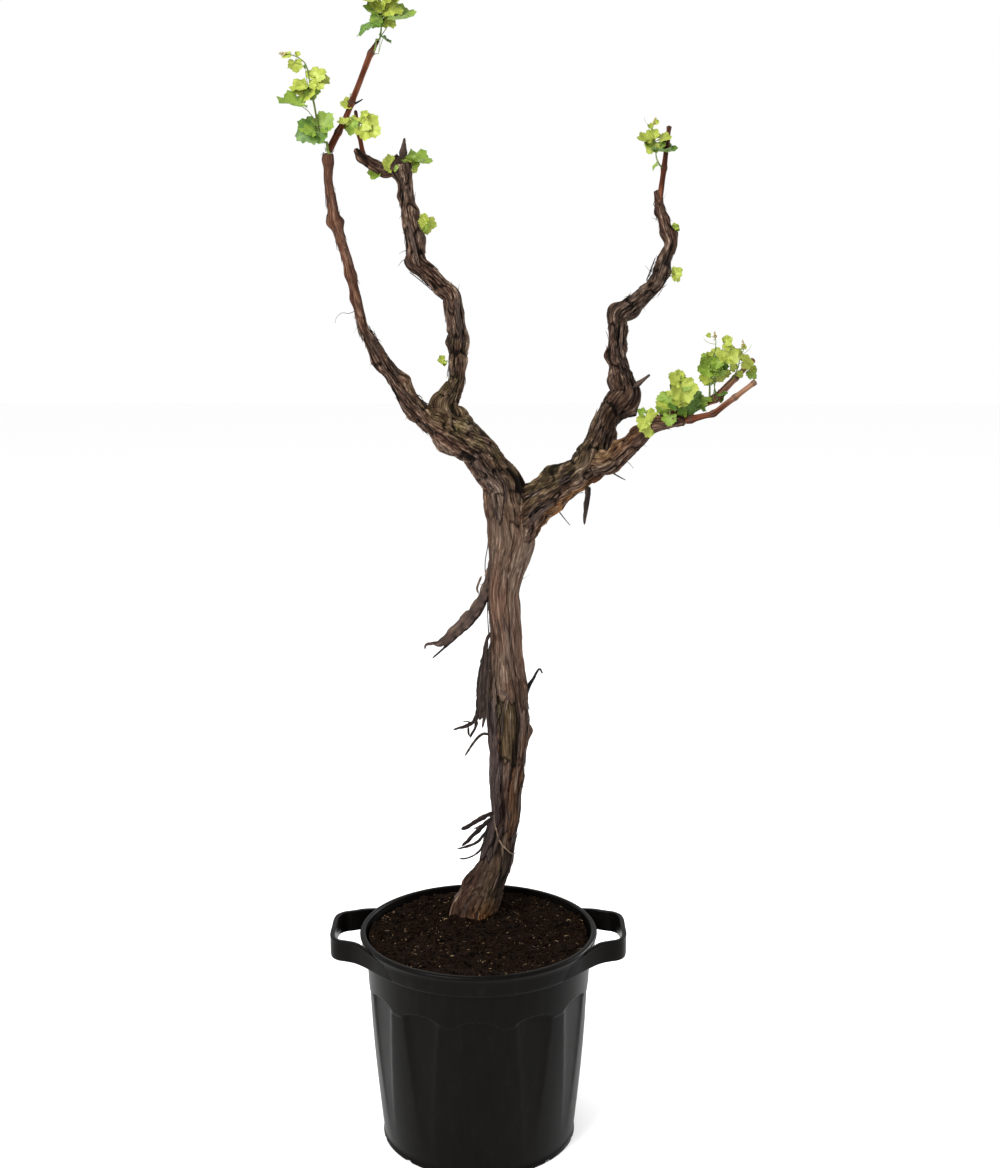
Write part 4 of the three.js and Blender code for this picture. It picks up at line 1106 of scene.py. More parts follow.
# each shoot: limb, run along it in mm, angle round it, swing away from the viewer in degrees and thickness,
# then the steps of its stem (length in mm, lean in degrees), its larger leaves (place along the stem in mm,
# lean and length of the stalk, lean of the tip, breadth in mm, turn of the blade in degrees, tint) and
# whether it flowers
shoots = {
    "leaves_left_top": [
        ("caneLeft", 158, 70, -6, 3.2, [(25, 27), (23, 8), (19, 2), (20, 8), (16, -10), (10, -18)],
         [(46, -80, 10, -104, 42, 70, "deep"), (58, -70, 9, -78, 32, 60, "fresh"),
          (74, -70, 18, -88, 36, 58, "bright"),
          (80, 55, 14, 40, 30, 20, "bright"), (26, 42, 34, 84, 42, 66, "fresh"),
          (52, 60, 6, 110, 27, 26, "bright"),
          (62, 70, 12, 80, 28, 40, "bright"), (60, -140, 5, 190, 24, 30, "fresh"),
          (92, 30, 5, 35, 20, 20, "bright"),
          (66, 20, 6, 150, 30, 22, "bright"), (70, -20, 5, 200, 26, 25, "bright"),
          (84, 100, 10, 118, 26, 30, "bright"),
          (48, -30, 5, -130, 26, 34, "deep"), (104, -70, 8, -60, 16, 30, "bright"),
          (88, -60, 8, -40, 19, 20, "bright"), (98, 60, 6, 62, 18, 30, "bright")], True),
        ("caneLeft", 158, 90, -4, 2.0, [(5, 70), (7, 95)], [(10, 100, 8, 128, 20, 78, "deep")], False),
    ],
    "leaves_left_side": [
        ("trunk", 1440, 40, -4, 3.8, [(24, -25), (26, -18), (30, -9), (25, -11), (30, -11), (12, -45),
                                      (13, -67), (13, -84)],
         [(46, -100, 9, -118, 42, 16, "deep"), (40, -80, 12, -70, 26, 52, "fresh"),
          (46, 60, 6, 52, 34, 20, "fresh"),
          (40, 160, 3, 185, 27, 20, "deep"), (52, -41, 42, -84, 42, 64, "fresh"),
          (105, -120, 4, 190, 34, 18, "bright"),
          (103, -80, 12, -100, 27, 52, "bright"), (112, 62, 7, 72, 36, 25, "bright"),
          (118, 80, 12, 40, 24, 20, "bright"),
          (128, -68, 20, 178, 22, 18, "bright"), (98, 20, 2, 160, 24, 30, "fresh"),
          (150, -20, 4, -20, 9, 20, "bright"),
          (160, -90, 3, -95, 15, 52, "bright")], True),
        ("trunk", 1440, 20, -6, 2.2, [(40, -22), (40, -10), (38, -14), (14, -2)],
         [(128, 10, 2, 10, 6, 72, "deep")], False),
    ],
    "leaves_left_middle": [
        ("caneLeft", 60, 80, -14, 2.2, [(8, 110), (9, 140), (8, 128)],
         [(24, 105, 5, 118, 40, 14, "bright"), (18, 90, 8, 60, 27, 25, "bright"),
          (4, 150, 3, 150, 18, 20, "bright"),
          (10, -150, 8, -162, 25, 30, "fresh"), (8, -120, 16, -96, 19, 62, "bright"),
          (18, 50, 18, 28, 13, 30, "bright"),
          (20, 62, 20, 70, 9, 30, "bright")], False),
        ("caneLeft", 93, -80, -16, 1.6, [(4, -80)],
         [(3, -70, 3, -82, 20, 30, "bright"), (3, -40, 3, -30, 10, 30, "bright")], False),
    ],
    "leaves_inner_top": [
        ("boughInner", 462, 60, -10, 2.2, [(6, 20), (4, 60)],
         [(2, -10, 3, -28, 25, 30, "fresh"), (8, 72, 6, 102, 40, 70, "fresh"),
          (6, 120, 5, 150, 22, 28, "bright"),
          (5, 60, 4, 80, 24, 35, "fresh"), (2, 20, 4, 5, 12, 20, "bright")], False),
    ],
    "leaves_inner_spur": [
        ("spurLeft", 22, -40, -18, 1.8, [(6, -20)],
         [(5, -20, 4, -48, 26, 20, "bright"), (4, 30, 3, 30, 18, 30, "fresh")], False),
        ("spurLeft", 44, 150, -14, 1.8, [(7, -165)],
         [(6, -160, 4, -150, 24, 25, "fresh"), (4, 120, 4, 110, 12, 30, "bright")], False),
        ("spurLeft", 10, 100, -16, 1.6, [(6, 170)],
         [(5, 140, 4, 122, 21, 38, "bright"), (3, -90, 5, -80, 15, 52, "bright")], False),
    ],
    "leaves_inner_middle": [
        ("boughInner", 372, 90, -12, 1.8, [(9, 80), (6, 110)],
         [(13, 90, 3, 172, 30, 16, "bright"), (8, 40, 3, 20, 18, 20, "bright"),
          (10, 150, 6, 190, 19, 20, "fresh")], False)],
    "leaves_inner_low": [
        ("boughInner", 122, -90, -14, 1.6, [(8, -70)],
         [(7, -80, 3, -100, 16, 30, "bright"), (5, -160, 4, 190, 12, 30, "fresh")], False)],
    "leaves_right_top": [
        ("caneRight", 56, -60, -10, 2.6, [(19, -31), (12, -8), (17, -11), (17, -11), (14, 14)],
         [(45, -85, 13, -92, 24, 54, "bright"), (50, -58, 5, -35, 22, 15, "bright"),
          (42, -120, 3, 205, 24, 15, "bright"),
          (40, -70, 6, -75, 20, 30, "fresh"), (46, 70, 12, 82, 24, 57, "bright"),
          (31, 90, 4, 98, 40, 70, "deep"),
          (34, 60, 3, 70, 24, 62, "fresh"), (56, 50, 3, 40, 16, 20, "bright"),
          (68, -60, 3, -60, 11, 20, "bright"),
          (74, 60, 4, 60, 10, 20, "bright"), (6, -80, 7, -132, 15, 74, "fresh")], True),
    ],
    "leaves_right_knot": [
        ("boughRight", 622, 90, -10, 1.8, [(6, 75)],
         [(5, 60, 2, 60, 13, 25, "bright"), (4, 100, 3, 110, 11, 30, "fresh"), (3, 10, 3, 0, 9, 30, "fresh")],
         False)],
    "leaves_right_bend": [
        ("boughRight", 545, 95, -8, 2.0, [(10, 72), (8, 60)],
         [(16, 60, 3, 40, 20, 18, "bright"), (14, 110, 3, 130, 19, 25, "bright"),
          (8, 20, 3, 0, 13, 25, "bright")], False)],
    "leaves_right_low": [
        ("boughLower", 176, -20, -16, 3.0, [(20, -5), (17, 17), (18, 22), (22, 9)],
         [(60, 100, 4, 158, 40, 10, "bright"), (66, -60, 5, -62, 27, 20, "bright"),
          (35, -80, 9, -150, 30, 15, "fresh"),
          (30, 150, 3, 112, 26, 62, "deep"), (38, 90, 7, 122, 30, 25, "bright"),
          (50, -50, 14, -18, 14, 30, "bright"),
          (8, 180, 3, 190, 23, 20, "fresh"), (74, 20, 3, 10, 10, 20, "bright"),
          (50, 140, 8, 130, 28, 30, "bright"),
          (24, -60, 6, -80, 25, 52, "bright"), (56, 60, 8, 60, 24, 30, "fresh")], False),
        ("boughLower", 142, -10, -22, 2.2, [(8, -30), (6, -60)],
         [(12, 30, 3, 140, 36, 14, "bright"), (8, 150, 7, 165, 32, 10, "bright"),
          (12, -40, 12, -52, 15, 30, "fresh"),
          (6, -90, 5, -120, 20, 30, "bright")], False),
        ("caneHigh", 54, 10, -30, 2.2, [(8, 10), (6, 40)],
         [(10, 10, 3, 172, 29, 6, "deep"), (4, -140, 8, 176, 27, 28, "fresh"),
          (3, -100, 10, 190, 22, 52, "fresh")], False),
        ("caneHigh", 74, -20, -24, 2.4, [(17, -15), (19, -30)],
         [(12, -90, 4, -72, 34, 57, "deep"), (4, 80, 4, 62, 27, 57, "fresh"),
          (30, -60, 4, -50, 11, 20, "bright"), (8, 180, 6, 150, 24, 62, "deep")], False),
        ("boughLower", 170, 160, 14, 2.4, [(14, -10), (14, 20), (12, 0)],
         [(20, -70, 5, -80, 30, 20, "fresh"), (26, 70, 5, 80, 32, 25, "bright"),
          (36, 10, 3, 10, 24, 20, "bright"), (12, 60, 5, 110, 28, 30, "fresh")], False),
    ],
    "leaves_right_high": [
        ("caneHigh", 92, -20, -6, 3.4, [(46, 0), (25, 11), (17, 6), (14, -8)],
         [(50, -80, 5, -112, 32, 10, "fresh"), (56, -40, 5, -50, 24, 20, "fresh"),
          (52, 70, 3, 30, 30, 15, "fresh"),
          (44, 50, 15, 132, 30, 15, "fresh"), (46, 70, 9, 92, 27, 52, "deep"),
          (62, -60, 9, -22, 13, 20, "bright"),
          (40, -120, 5, 200, 22, 25, "bright"), (96, -75, 12, -80, 9, 30, "bright"),
          (70, 30, 4, 20, 16, 20, "bright")], True),
        ("caneHigh", 96, 30, -16, 1.8, [(50, 5), (24, 14), (20, 2), (14, 0)],
         [(84, 100, 4, 142, 30, 14, "bright"), (78, 112, 9, 120, 27, 25, "bright"),
          (96, 62, 5, 58, 17, 15, "bright"),
          (90, 40, 6, 100, 20, 30, "bright"), (70, -120, 4, 195, 20, 20, "fresh")], False),
        ("caneHigh", 142, -30, -8, 2.4, [(21, 22), (17, 11), (14, 20), (8, -10)],
         [(40, -50, 5, -42, 17, 18, "bright"), (28, 72, 9, 82, 23, 20, "bright"),
          (18, -60, 4, -42, 15, 20, "bright"),
          (34, 60, 5, 30, 12, 20, "bright"), (52, 20, 3, 10, 9, 20, "bright"),
          (10, 90, 5, 120, 13, 30, "bright")], True),
        ("caneHigh", 172, 110, -12, 1.6, [(6, 120)],
         [(5, 118, 3, 122, 22, 30, "fresh"), (4, 60, 4, 70, 14, 30, "bright")], False),
        ("caneHigh", 98, 20, -20, 1.6, [(6, 60)], [(5, 62, 4, 82, 20, 76, "deep")], False),
        ("caneHigh", 120, 120, -16, 1.6, [(6, 170)], [(5, 180, 2, 188, 20, 62, "fresh")], False),
        ("caneHigh", 108, 170, 14, 2.4, [(26, -8), (22, 8), (14, 0)],
         [(30, -70, 5, -80, 28, 20, "fresh"), (36, 70, 5, 80, 30, 25, "bright"),
          (50, 10, 3, 10, 20, 20, "bright")], False),
    ],
}


def keptIn(point, low, high, margin):
    return Vector([min(max(point[k], low[k] + margin), high[k] - margin) for k in range(3)])


def growShoots():
    # stalks, blades and buds, grown shoot by shoot and node by node
    stems, stalks, buds = [], [], []
    blades = {"bright": [], "fresh": [], "deep": []}
    for mass, plans in shoots.items():
        low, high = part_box(mass)
        for number, (limb, run, angle, swing, thick, steps, leaves, flower) in enumerate(plans):
            dice = random.Random(mass + str(number))
            bendPoints = [onLimb(limb, run * mm, angle, -0.8 * mm)[0]]
            for length, lean in steps:
                bendPoints.append(bendPoints[-1] + stepFor(length, lean, swing))
            if len(bendPoints) == 2:
                bendPoints.insert(1, (bendPoints[0] + bendPoints[1]) / 2)
            even, centre, _ = splineThrough(bendPoints, [0.001] * len(bendPoints), 3 * mm)
            stem = [Vector(point) for point in centre]
            stem = stem[:4] + [keptIn(point, low, high, 1.2 * mm) for point in stem[4:]]
            total = even[-1]
            stems.append([(point, thick / 2 * mm * (1 - 0.62 * even[k] / total))
                          for k, point in enumerate(stem)])
            for at, stalkLean, stalkLength, tipLean, breadth, turn, tint in leaves:
                origin = stem[min(len(stem) - 1, int(round(at * mm / total * (len(stem) - 1))))]
                depth = dice.uniform(-32, 12) * (1 if swing < 0 else -1)
                reach = origin + stepFor(stalkLength, stalkLean + dice.uniform(-4, 4), depth)
                size = breadth * mm / leafLook["wide" if turn < 40 else "long"]
                reach = keptIn(reach, low, high, 0.16 * breadth * mm)
                middle = (origin + reach) / 2 + Vector((0, 0, 0.10 * stalkLength * mm))
                thin = (0.35 + 0.010 * breadth) * mm
                stalks.append([(origin, thin), (middle, thin * 0.9), (reach, thin * 0.85)])
                tipTurn = tipLean + dice.uniform(-6, 6)
                tipWay = stepFor(1, tipTurn, dice.uniform(-22, 6) * (1 if swing < 0 else -1)).normalized()
                face = Vector((0, -1 if swing < 0 else 1, 0))
                face = (face - tipWay * face.dot(tipWay)).normalized()
                turned = [Matrix.Rotation(math.radians(side * turn), 3, tipWay) @ face for side in (1, -1)]
                face = max(turned, key=lambda way: way.z)
                across = tipWay.cross(face).normalized()
                axes = Matrix((across, tipWay, face)).transposed().to_4x4()
                place = Matrix.Translation(reach) @ axes @ Matrix.Scale(size, 4)
                # the smallest are still folded
                blades[tint].append((place, 3 if breadth < 14 else dice.randrange(3)))
            if flower:
                crown, heading = stem[-1], (stem[-1] - stem[-2]).normalized()
                for _ in range(budLook["count"]):
                    ahead = dice.uniform(-0.2, 1.0)
                    wide = budLook["wide"] * mm * (1.1 - ahead * 0.7)
                    off = Vector((dice.gauss(0, 1), dice.gauss(0, 1), dice.gauss(0, 1))).normalized()
                    off = off * wide * dice.random() ** 0.5
                    spot = crown + heading * (ahead * budLook["long"] - 4) * mm + off
                    spot = keptIn(spot, low, high, 1 * mm)
                    size = dice.uniform(budLook["least"], budLook["most"]) * mm
                    buds.append(Matrix.Translation(spot) @ Matrix.Scale(size, 4))
                for hand, first in ((1, 0.72), (-1, 0.88)):
                    lean = math.degrees(math.atan2(heading.x, heading.z)) + tendrilLook["lean"] * hand
                    curl = [(stem[int(first * (len(stem) - 1))].copy(), tendrilLook["thick"] * mm)]
                    for k in range(tendrilLook["steps"]):
                        ahead = stepFor(tendrilLook["step"], lean, tendrilLook["swing"])
                        curl.append((curl[-1][0] + ahead, (tendrilLook["thick"] - 0.02 * (k + 1)) * mm))
                        lean -= hand * (2 + 1.4 * k)
                    stalks.append([(keptIn(spot, low, high, 0.5 * mm), half) for spot, half in curl])
    return stems, stalks, blades, buds


def leafFinish(name, colour, darker, veined=True):
    material, tree, shader = startFinish(name, 0.5, 0.3)
    place = addNode(tree, "TexCoord").outputs["Object"]
    mottle = rampOf(tree, noiseOf(tree, place, 130.0, 3, 0.6), [(0.36, (0, 0, 0)), (0.62, (1, 1, 1))])
    tint = mixOf(tree, mottle, colour, darker)
    if veined:
        vein = addNode(tree, "Attribute", {"attribute_name": "vein"}).outputs["Fac"]
        share = addNode(tree, "Math", {"operation": "MULTIPLY"}, _0=vein, _1=0.55).outputs[0]
        tint = mixOf(tree, share, tint, tuple(1.35 * c + 0.03 for c in colour))
    tree.links.new(tint, shader.inputs["Base Color"])
    shader.inputs["Subsurface Weight"].default_value = 0.15
    shader.inputs["Subsurface Radius"].default_value = (0.003, 0.004, 0.001)
    shader.inputs["Subsurface Scale"].default_value = 1.0
    bumpInto(tree, shader, noiseOf(tree, place, 700.0, 2, 0.5), 0.35, 0.0006)
    return material


def makeLeaves():
    stems, stalks, blades, buds = growShoots()
    green = leafFinish("stalkFinish", (0.13, 0.19, 0.030), (0.085, 0.11, 0.022), False)
    curvePiece("shootStems", stems, green, 1)
    curvePiece("leafStalks", stalks, green, 0)
    templates = [leafTemplate(number + 1, cup, fold) for number, (cup, fold) in enumerate(leafLook["cuts"])]
    pieces = []
    for kind, placed in blades.items():
        meshes = [copiesOf("leaf", template, [place for place, which in placed if which == index])
                  for index, template in enumerate(templates) if any(which == index for _, which in placed)]
        whole = joined("leaves" + kind.capitalize(), meshes)
        finish = leafFinish(kind + "Leaf", *leafLook["tints"][kind])
        pieces.append(finishPiece(whole.name, whole, [finish]))
    ball = bmesh.new()
    bmesh.ops.create_icosphere(ball, subdivisions=1, radius=1.0)
    small = bpy.data.meshes.new("budTemplate")
    ball.to_mesh(small)
    ball.free()
    budMesh = copiesOf("flowerBuds", small, buds)
    budColours = leafFinish("budFinish", (0.36, 0.32, 0.13), (0.26, 0.19, 0.07), False)
    finishPiece("flowerBuds", budMesh, [budColours])
    return pieces


# soil
soilLook = {
    "crumbs": 2900, "chips": 620, "sides": 220, "rings": 110,
    # how it rises at the trunk and towards the rim, in mm
    "mound": 6, "moundReach": 85, "rise": 11, "riseFrom": 110, "riseTo": 178,
    "waves": [(3.2, 30, 3), (3.0, 11, 4), (2.0, 4.8, 5)],  # height and length in mm, and seed
    "topShare": 0.86, "depth": 35, "trunkRoom": 40,
}


def soilHeight(points):
    # height over the soil's level at each (x, y)
    flat = np.stack([points[:, 0], points[:, 1], np.zeros(len(points))], axis=1)
    away = np.hypot(points[:, 0] - trunkStart.x, points[:, 1] - trunkStart.y)
    rise = soilLook["mound"] * mm * np.exp(-((away / (soilLook["moundReach"] * mm)) ** 2))
    for tall, long, seed in soilLook["waves"]:
        rise += tall * mm * noiseAt(flat / (long * mm), seed)
    edge = np.hypot(points[:, 0], points[:, 1])
    return rise + soilLook["rise"] * mm * smoothStep(edge, soilLook["riseFrom"] * mm, soilLook["riseTo"] * mm)


def makeSoil():
    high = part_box("soil")[1]
    radius = high.x - 0.4 * mm
    topShare = soilLook["topShare"]
    mesh = gridMesh("soilBed", soilLook["sides"], soilLook["rings"])
    sheet = pointsOf(mesh)
    angle = np.pi * sheet[:, 0]
    share = (sheet[:, 1] + 1) / 2
    top = np.clip(share / topShare, 0, 1)
    under = np.clip((share - topShare) / (1 - topShare), 0, 1)
    reach = radius * np.where(under > 0, 1 - under, top ** 0.8)
    x, y = reach * np.cos(angle), reach * np.sin(angle)
    z = high.z + np.where(under > 0, -soilLook["depth"] * mm, soilHeight(np.stack([x, y], axis=1)))
    setPoints(mesh, np.stack([x, y, z], axis=1))
    weld(mesh)
    bed = finishPiece("soilBed", mesh, [soilFinish()])
    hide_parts("soil")

    dice = random.Random(23)
    ball = bmesh.new()
    bmesh.ops.create_icosphere(ball, subdivisions=1, radius=1.0)
    for vert in ball.verts:
        vert.co *= dice.uniform(0.7, 1.15)
    lump = bpy.data.meshes.new("crumbTemplate")
    ball.to_mesh(lump)
    ball.free()

    def scattered(count, sizeOf, hug=0.0):
        placed = []
        while len(placed) < count:
            away = radius * math.sqrt(dice.random()) * 0.985
            angle = dice.uniform(0, tau)
            x, y = away * math.cos(angle), away * math.sin(angle)
            if math.hypot(x - trunkStart.x, y - trunkStart.y) < soilLook["trunkRoom"] * mm:
                continue
            size = sizeOf()
            z = high.z + float(soilHeight(np.array([[x, y]]))[0]) + hug * min(size) * mm
            turn = Matrix.Rotation(dice.uniform(0, tau), 4, "Z")
            turn = turn @ Matrix.Rotation(dice.gauss(0, 0.35), 4, "X")
            scale = Matrix.Diagonal((*[side * mm for side in size], 1))
            placed.append(Matrix.Translation((x, y, z)) @ turn @ scale)
        return placed

    def crumbSize():
        size = 1.0 + 4.6 * dice.random() ** 2.4
        return (size * dice.uniform(0.8, 1.4), size * dice.uniform(0.7, 1.1), size * dice.uniform(0.6, 1.0))

    def chipSize():
        return (1.0 + 6.0 * dice.random() ** 1.8, dice.uniform(0.4, 1.1), dice.uniform(0.3, 0.6))

    crumbs = copiesOf("soilCrumbs", lump, scattered(soilLook["crumbs"], crumbSize, 0.3))
    crumbColours = crumbFinish("crumbFinish", (0.0020, 0.0010, 0.0006), (0.0125, 0.0062, 0.0032))
    finishPiece("soilCrumbs", crumbs, [crumbColours], False)
    chips = copiesOf("soilChips", lump, scattered(soilLook["chips"], chipSize, 0.9))
    chipColours = crumbFinish("chipFinish", (0.018, 0.010, 0.005), (0.23, 0.155, 0.085), 30.0)
    finishPiece("soilChips", chips, [chipColours], False)


def crumbFinish(name, dark, light, patches=90.0):
    material, tree, shader = startFinish(name, 0.97, 0.04)
    place = addNode(tree, "TexCoord").outputs["Object"]
    share = rampOf(tree, noiseOf(tree, place, patches, 2, 0.5), [(0.38, (0, 0, 0)), (0.66, (1, 1, 1))])
    tree.links.new(mixOf(tree, share, dark, light), shader.inputs["Base Color"])
    return material


def soilFinish():
    material, tree, shader = startFinish("soilFinish", 0.98, 0.04)
    place = addNode(tree, "TexCoord").outputs["Object"]
    grain = noiseOf(tree, place, 420.0, 4, 0.65)
    cloud = noiseOf(tree, place, 26.0, 3, 0.55)
    dark = rampOf(tree, grain, [(0.35, (0.0012, 0.0006, 0.0004)), (0.55, (0.0042, 0.0020, 0.0011)),
                                (0.72, (0.016, 0.0085, 0.0045))])
    warm = rampOf(tree, grain, [(0.35, (0.0022, 0.0011, 0.0007)), (0.55, (0.0085, 0.0042, 0.0022)),
                                (0.72, (0.032, 0.018, 0.0095))])
    tree.links.new(mixOf(tree, cloud, dark, warm), shader.inputs["Base Color"])
    bumpInto(tree, shader, grain, 0.9, 0.0015)
    return material


# pot
potLook = {  # mm
    "lipDepth": 36, "wall": 3, "shoulder": 188.5, "foot": 162.5, "bulge": 4, "ring": 164.5, "ringHeight": 6,
    "flutes": 12, "fluteDepth": 5.5, "fluteHalf": 10.5, "fluteTop": 284, "arch": 12, "step": 1.1,
    "sides": 288, "notches": 12, "notchHeight": 5, "notchHalf": 6.5, "bead": 4.6, "fluteFoot": 30,
}


def arcPoints(middle, radius, startAngle, endAngle, count):
    return [(middle[0] + radius * math.cos(math.radians(startAngle + (endAngle - startAngle) * k / count)),
             middle[1] + radius * math.sin(math.radians(startAngle + (endAngle - startAngle) * k / count)))
            for k in range(count + 1)]


def wallRadius(z, height):
    look = potLook
    share = (z - look["ringHeight"]) / (height - look["lipDepth"] - look["ringHeight"])
    return look["foot"] + (look["shoulder"] - look["foot"]) * share + 4 * look["bulge"] * share * (1 - share)


def potProfile(rim, height):
    look = potLook
    lipFoot, bead = height - look["lipDepth"], look["bead"]
    profile = [(0, 0.6), (look["ring"] - 26, 0.6), (look["ring"] - 22, 0)]
    profile += arcPoints((look["ring"] - 2.5, 2.5), 2.5, -90, 0, 5)
    profile += arcPoints((look["ring"] - 1.2, look["ringHeight"] - 1.2), 1.2, 0, 80, 3)
    # rings up the wall in mm, close together where the flutes end
    levels = [10, 16] + list(range(24, 240, 8)) + [240 + 1.6 * k for k in range(32)]
    levels += [294, 300, 307, 314, 321, 326]
    profile += [(wallRadius(z, height), z) for z in levels if z < lipFoot - 3]
    profile += [(wallRadius(lipFoot, height), lipFoot - 1.5), (wallRadius(lipFoot, height) + 1.5, lipFoot)]
    profile += [(rim - 5.6, lipFoot), (rim - 4.4, lipFoot + 0.8), (rim - 4.0, lipFoot + 4)]
    profile += [(rim - 2.8, height - 16), (rim - 2.6, height - 2.4 * bead)]
    profile += arcPoints((rim - bead, height - bead), bead, -38, 90, 10)
    profile += arcPoints((rim - 7.4, height - 2.6), 2.6, 90, 180, 4)
    profile += [(rim - 11, height - 14), (wallRadius(lipFoot, height) - look["wall"] + 1, lipFoot)]
    profile += [(wallRadius(z, height) - look["wall"], z) for z in (300, 260, 200, 120, 40, 8)]
    profile += [(look["foot"] - 12, 5), (0, 5)]
    return profile


def makePot():
    look = potLook
    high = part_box("pot")[1]
    height = high.z / mm
    shape = bmesh.new()
    verts = [shape.verts.new((r * mm, 0, z * mm)) for r, z in potProfile(high.x / mm, height)]
    edges = [shape.edges.new(pair) for pair in zip(verts, verts[1:])]
    bmesh.ops.spin(shape, geom=verts + edges, cent=(0, 0, 0), axis=(0, 0, 1),
                   angle=tau, steps=look["sides"], use_merge=True)
    bmesh.ops.remove_doubles(shape, verts=shape.verts, dist=1e-6)
    bmesh.ops.recalc_face_normals(shape, faces=shape.faces)
    mesh = bpy.data.meshes.new("potShell")
    shape.to_mesh(mesh)
    shape.free()
    points = pointsOf(mesh)
    radius = np.hypot(points[:, 0], points[:, 1])
    angle = np.arctan2(points[:, 0], -points[:, 1])
    z = points[:, 2] / mm
    pitch = tau / look["flutes"]
    off = np.abs(angle - pitch * np.round(angle / pitch))
    climb = np.clip((z - look["fluteFoot"]) / (look["fluteTop"] - look["fluteFoot"]), 0, 1)
    half = math.radians(look["fluteHalf"]) * (0.30 + 0.70 * climb)
    across = np.clip(1 - (off / half) ** 2, 0, 1) ** 0.55
    arch = 1 - np.sqrt(np.clip(1 - (off / math.radians(look["fluteHalf"])) ** 2, 0, 1))
    archLine = look["fluteTop"] - look["arch"] * arch
    below = smoothStep(archLine - z, 0.0, 3.6)
    sink = below * (look["fluteDepth"] * climb * across + look["step"] * np.sqrt(climb))
    onWall = (z > 9) & (z < height - look["lipDepth"] - 1)
    radius = np.where(onWall, radius - sink * mm, radius)
    notchPitch = tau / look["notches"]
    offFlute = np.abs(angle - notchPitch * np.round(angle / notchPitch))
    offNotch = np.abs(offFlute - notchPitch / 2) * look["ring"]
    nearRing = smoothStep(radius / mm, look["ring"] - 8, look["ring"] - 4)
    notch = smoothStep(look["notchHalf"] - offNotch, 0, 4) * nearRing
    z = np.where(z < look["notchHeight"], z + (look["notchHeight"] - z) * notch, z)
    setPoints(mesh, np.stack([radius * np.sin(angle), -radius * np.cos(angle), z * mm], axis=1))
    plastic = potFinish()
    shell = finishPiece("potShell", mesh, [plastic])
    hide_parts("pot")
    for name, sign in (("grip_right", 1), ("grip_left", -1)):
        gripName = "gripRight" if sign > 0 else "gripLeft"
        grip = finishPiece(gripName, gripMesh(name, sign), [plastic])
        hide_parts(name)


# half of a grip's loop seen from above, from inside the lip out to the middle of the hand hold, in mm
gripPath = [(132, -141.5), (146, -129), (159, -115), (171, -100.5), (182, -89), (194, -78),
            (206, -69.5), (219, -64), (231, -59.5), (240, -50)]
gripBand = {"thick": 3.7, "rootThick": 2.2, "bead": 0.8, "square": 0.32}


def gripMesh(name, sign):
    # a band bent into a loop, lower and thinner where it runs into the lip
    low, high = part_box(name)
    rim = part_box("pot")[1].z
    far = max(abs(low.x), abs(high.x)) / mm - gripBand["thick"]
    outline = gripPath + [(far - 0.6, -36), (far, 0)]
    outline = outline + [(x, -y) for x, y in reversed(outline[:-1])]
    points = [Vector((x, y, 0)) * mm for x, y in outline]
    even, centre, _ = splineThrough(points, [0.001] * len(points), 2.0 * mm)
    mesh = gridMesh(name, 48, len(even) - 1)
    sheet = pointsOf(mesh)
    lay = np.round((sheet[:, 1] + 1) / 2 * (len(even) - 1)).astype(int)
    angle = np.pi * sheet[:, 0]
    along = np.gradient(centre, axis=0)
    along /= np.linalg.norm(along, axis=1)[:, None]
    outward = np.cross(along, np.array([0, 0, 1.0]))
    share = even / even[-1]
    root = 1 - smoothStep(np.minimum(share, 1 - share), 0.10, 0.27)
    thick = (gripBand["thick"] * (1 - root) + gripBand["rootThick"] * root) * mm
    top = high.z * (1 - root) + (rim - 8.5 * mm) * root
    bottom = (low.z + 0.2 * mm) * (1 - root) + (rim - (potLook["lipDepth"] - 0.6) * mm) * root
    power = gripBand["square"]
    across = np.sign(np.cos(angle)) * np.abs(np.cos(angle)) ** power
    up = np.sign(np.sin(angle)) * np.abs(np.sin(angle)) ** power
    bead = gripBand["bead"] / gripBand["thick"] * smoothStep(up, 0.72, 0.95)
    across = across + bead * np.sign(np.cos(angle)) * (np.abs(np.cos(angle)) > 0.03)
    closing = np.clip(np.minimum(lay, len(even) - 1 - lay), 0, 1)
    placed = centre[lay] + outward[lay] * (across * thick[lay] * closing)[:, None]
    placed[:, 2] = (top[lay] + bottom[lay]) / 2 + up * (top[lay] - bottom[lay]) / 2 * closing
    placed[:, :2] *= sign
    setPoints(mesh, placed)
    weld(mesh)
    return mesh


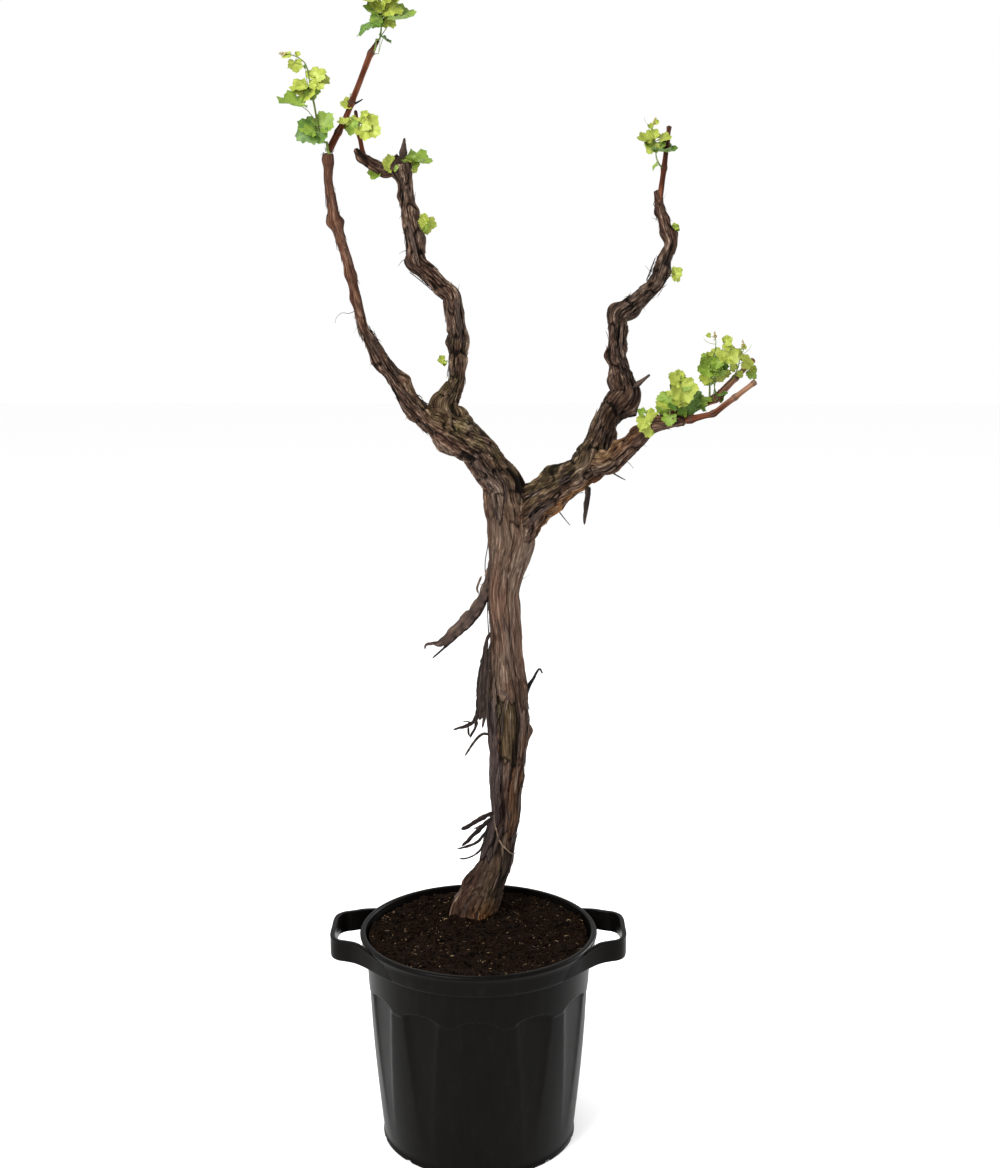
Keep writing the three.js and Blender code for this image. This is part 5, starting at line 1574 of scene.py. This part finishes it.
def potFinish():
    material, tree, shader = startFinish("potFinish", 0.38, 0.05)
    place = addNode(tree, "TexCoord").outputs["Object"]
    cloud = noiseOf(tree, place, 9.0, 4, 0.6)
    dust = noiseOf(tree, stretched(tree, place, (60, 60, 14)), 1.0, 4, 0.7)
    colour = rampOf(tree, dust, [(0.35, (0.0018, 0.0014, 0.0012)), (0.6, (0.0028, 0.0022, 0.0019)),
                                 (0.85, (0.0065, 0.0054, 0.0046))])
    tree.links.new(colour, shader.inputs["Base Color"])
    gloss = addNode(tree, "MapRange", Value=cloud, To_Min=0.30, To_Max=0.44).outputs[0]
    tree.links.new(gloss, shader.inputs["Roughness"])
    fine = noiseOf(tree, place, 700.0, 2, 0.5)
    bumpInto(tree, shader, fine, 0.08, 0.0005)
    return material


# put together
makeView()
print("view and light ready")
layOutLimbs()
barkMaterial = barkFinish()
trunkPiece = finishPiece("trunkBark", limbMesh("trunk", 150, 3, step=2.3), [barkMaterial])
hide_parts("trunk", "bough_left", "bough_left_outer")
boughSides = {"boughRight": 104, "boughInner": 72, "boughLower": 72, "spurLeft": 44}
boughMeshes = [limbMesh(name, sides, 5 + 2 * k) for k, (name, sides) in enumerate(boughSides.items())]
boughs = joined("boughBark", boughMeshes)
boughPiece = finishPiece("boughBark", boughs, [barkMaterial])
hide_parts("bough_right", "bough_right_upper", "bough_left_inner",
            "bough_right_lower", "spur_left")
print("limbs grown")

caneMaterial = caneFinish()
canes = joined("caneBark", [caneMesh(name, 20, 3 + number) for number, name in enumerate(caneLook["nodes"])])
canePiece = finishPiece("caneBark", canes, [caneMaterial])
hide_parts("cane_left", "cane_right", "cane_right_low", "cane_right_high",
            "twig_left", "stub_left", "stub_right")
print("canes grown")

looseMaterial = looseFinish()
finishPiece("barkFlakes", makeFlakes(), [looseMaterial])
hanging = finishPiece("looseBark", makeHanging(), [looseMaterial])
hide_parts(*hangingStrips)
makeFibres(looseMaterial)
print("loose bark hung")

leafPieces = makeLeaves()
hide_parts(*shoots)
print("leaves out")
makeSoil()
makePot()
print("pot filled")
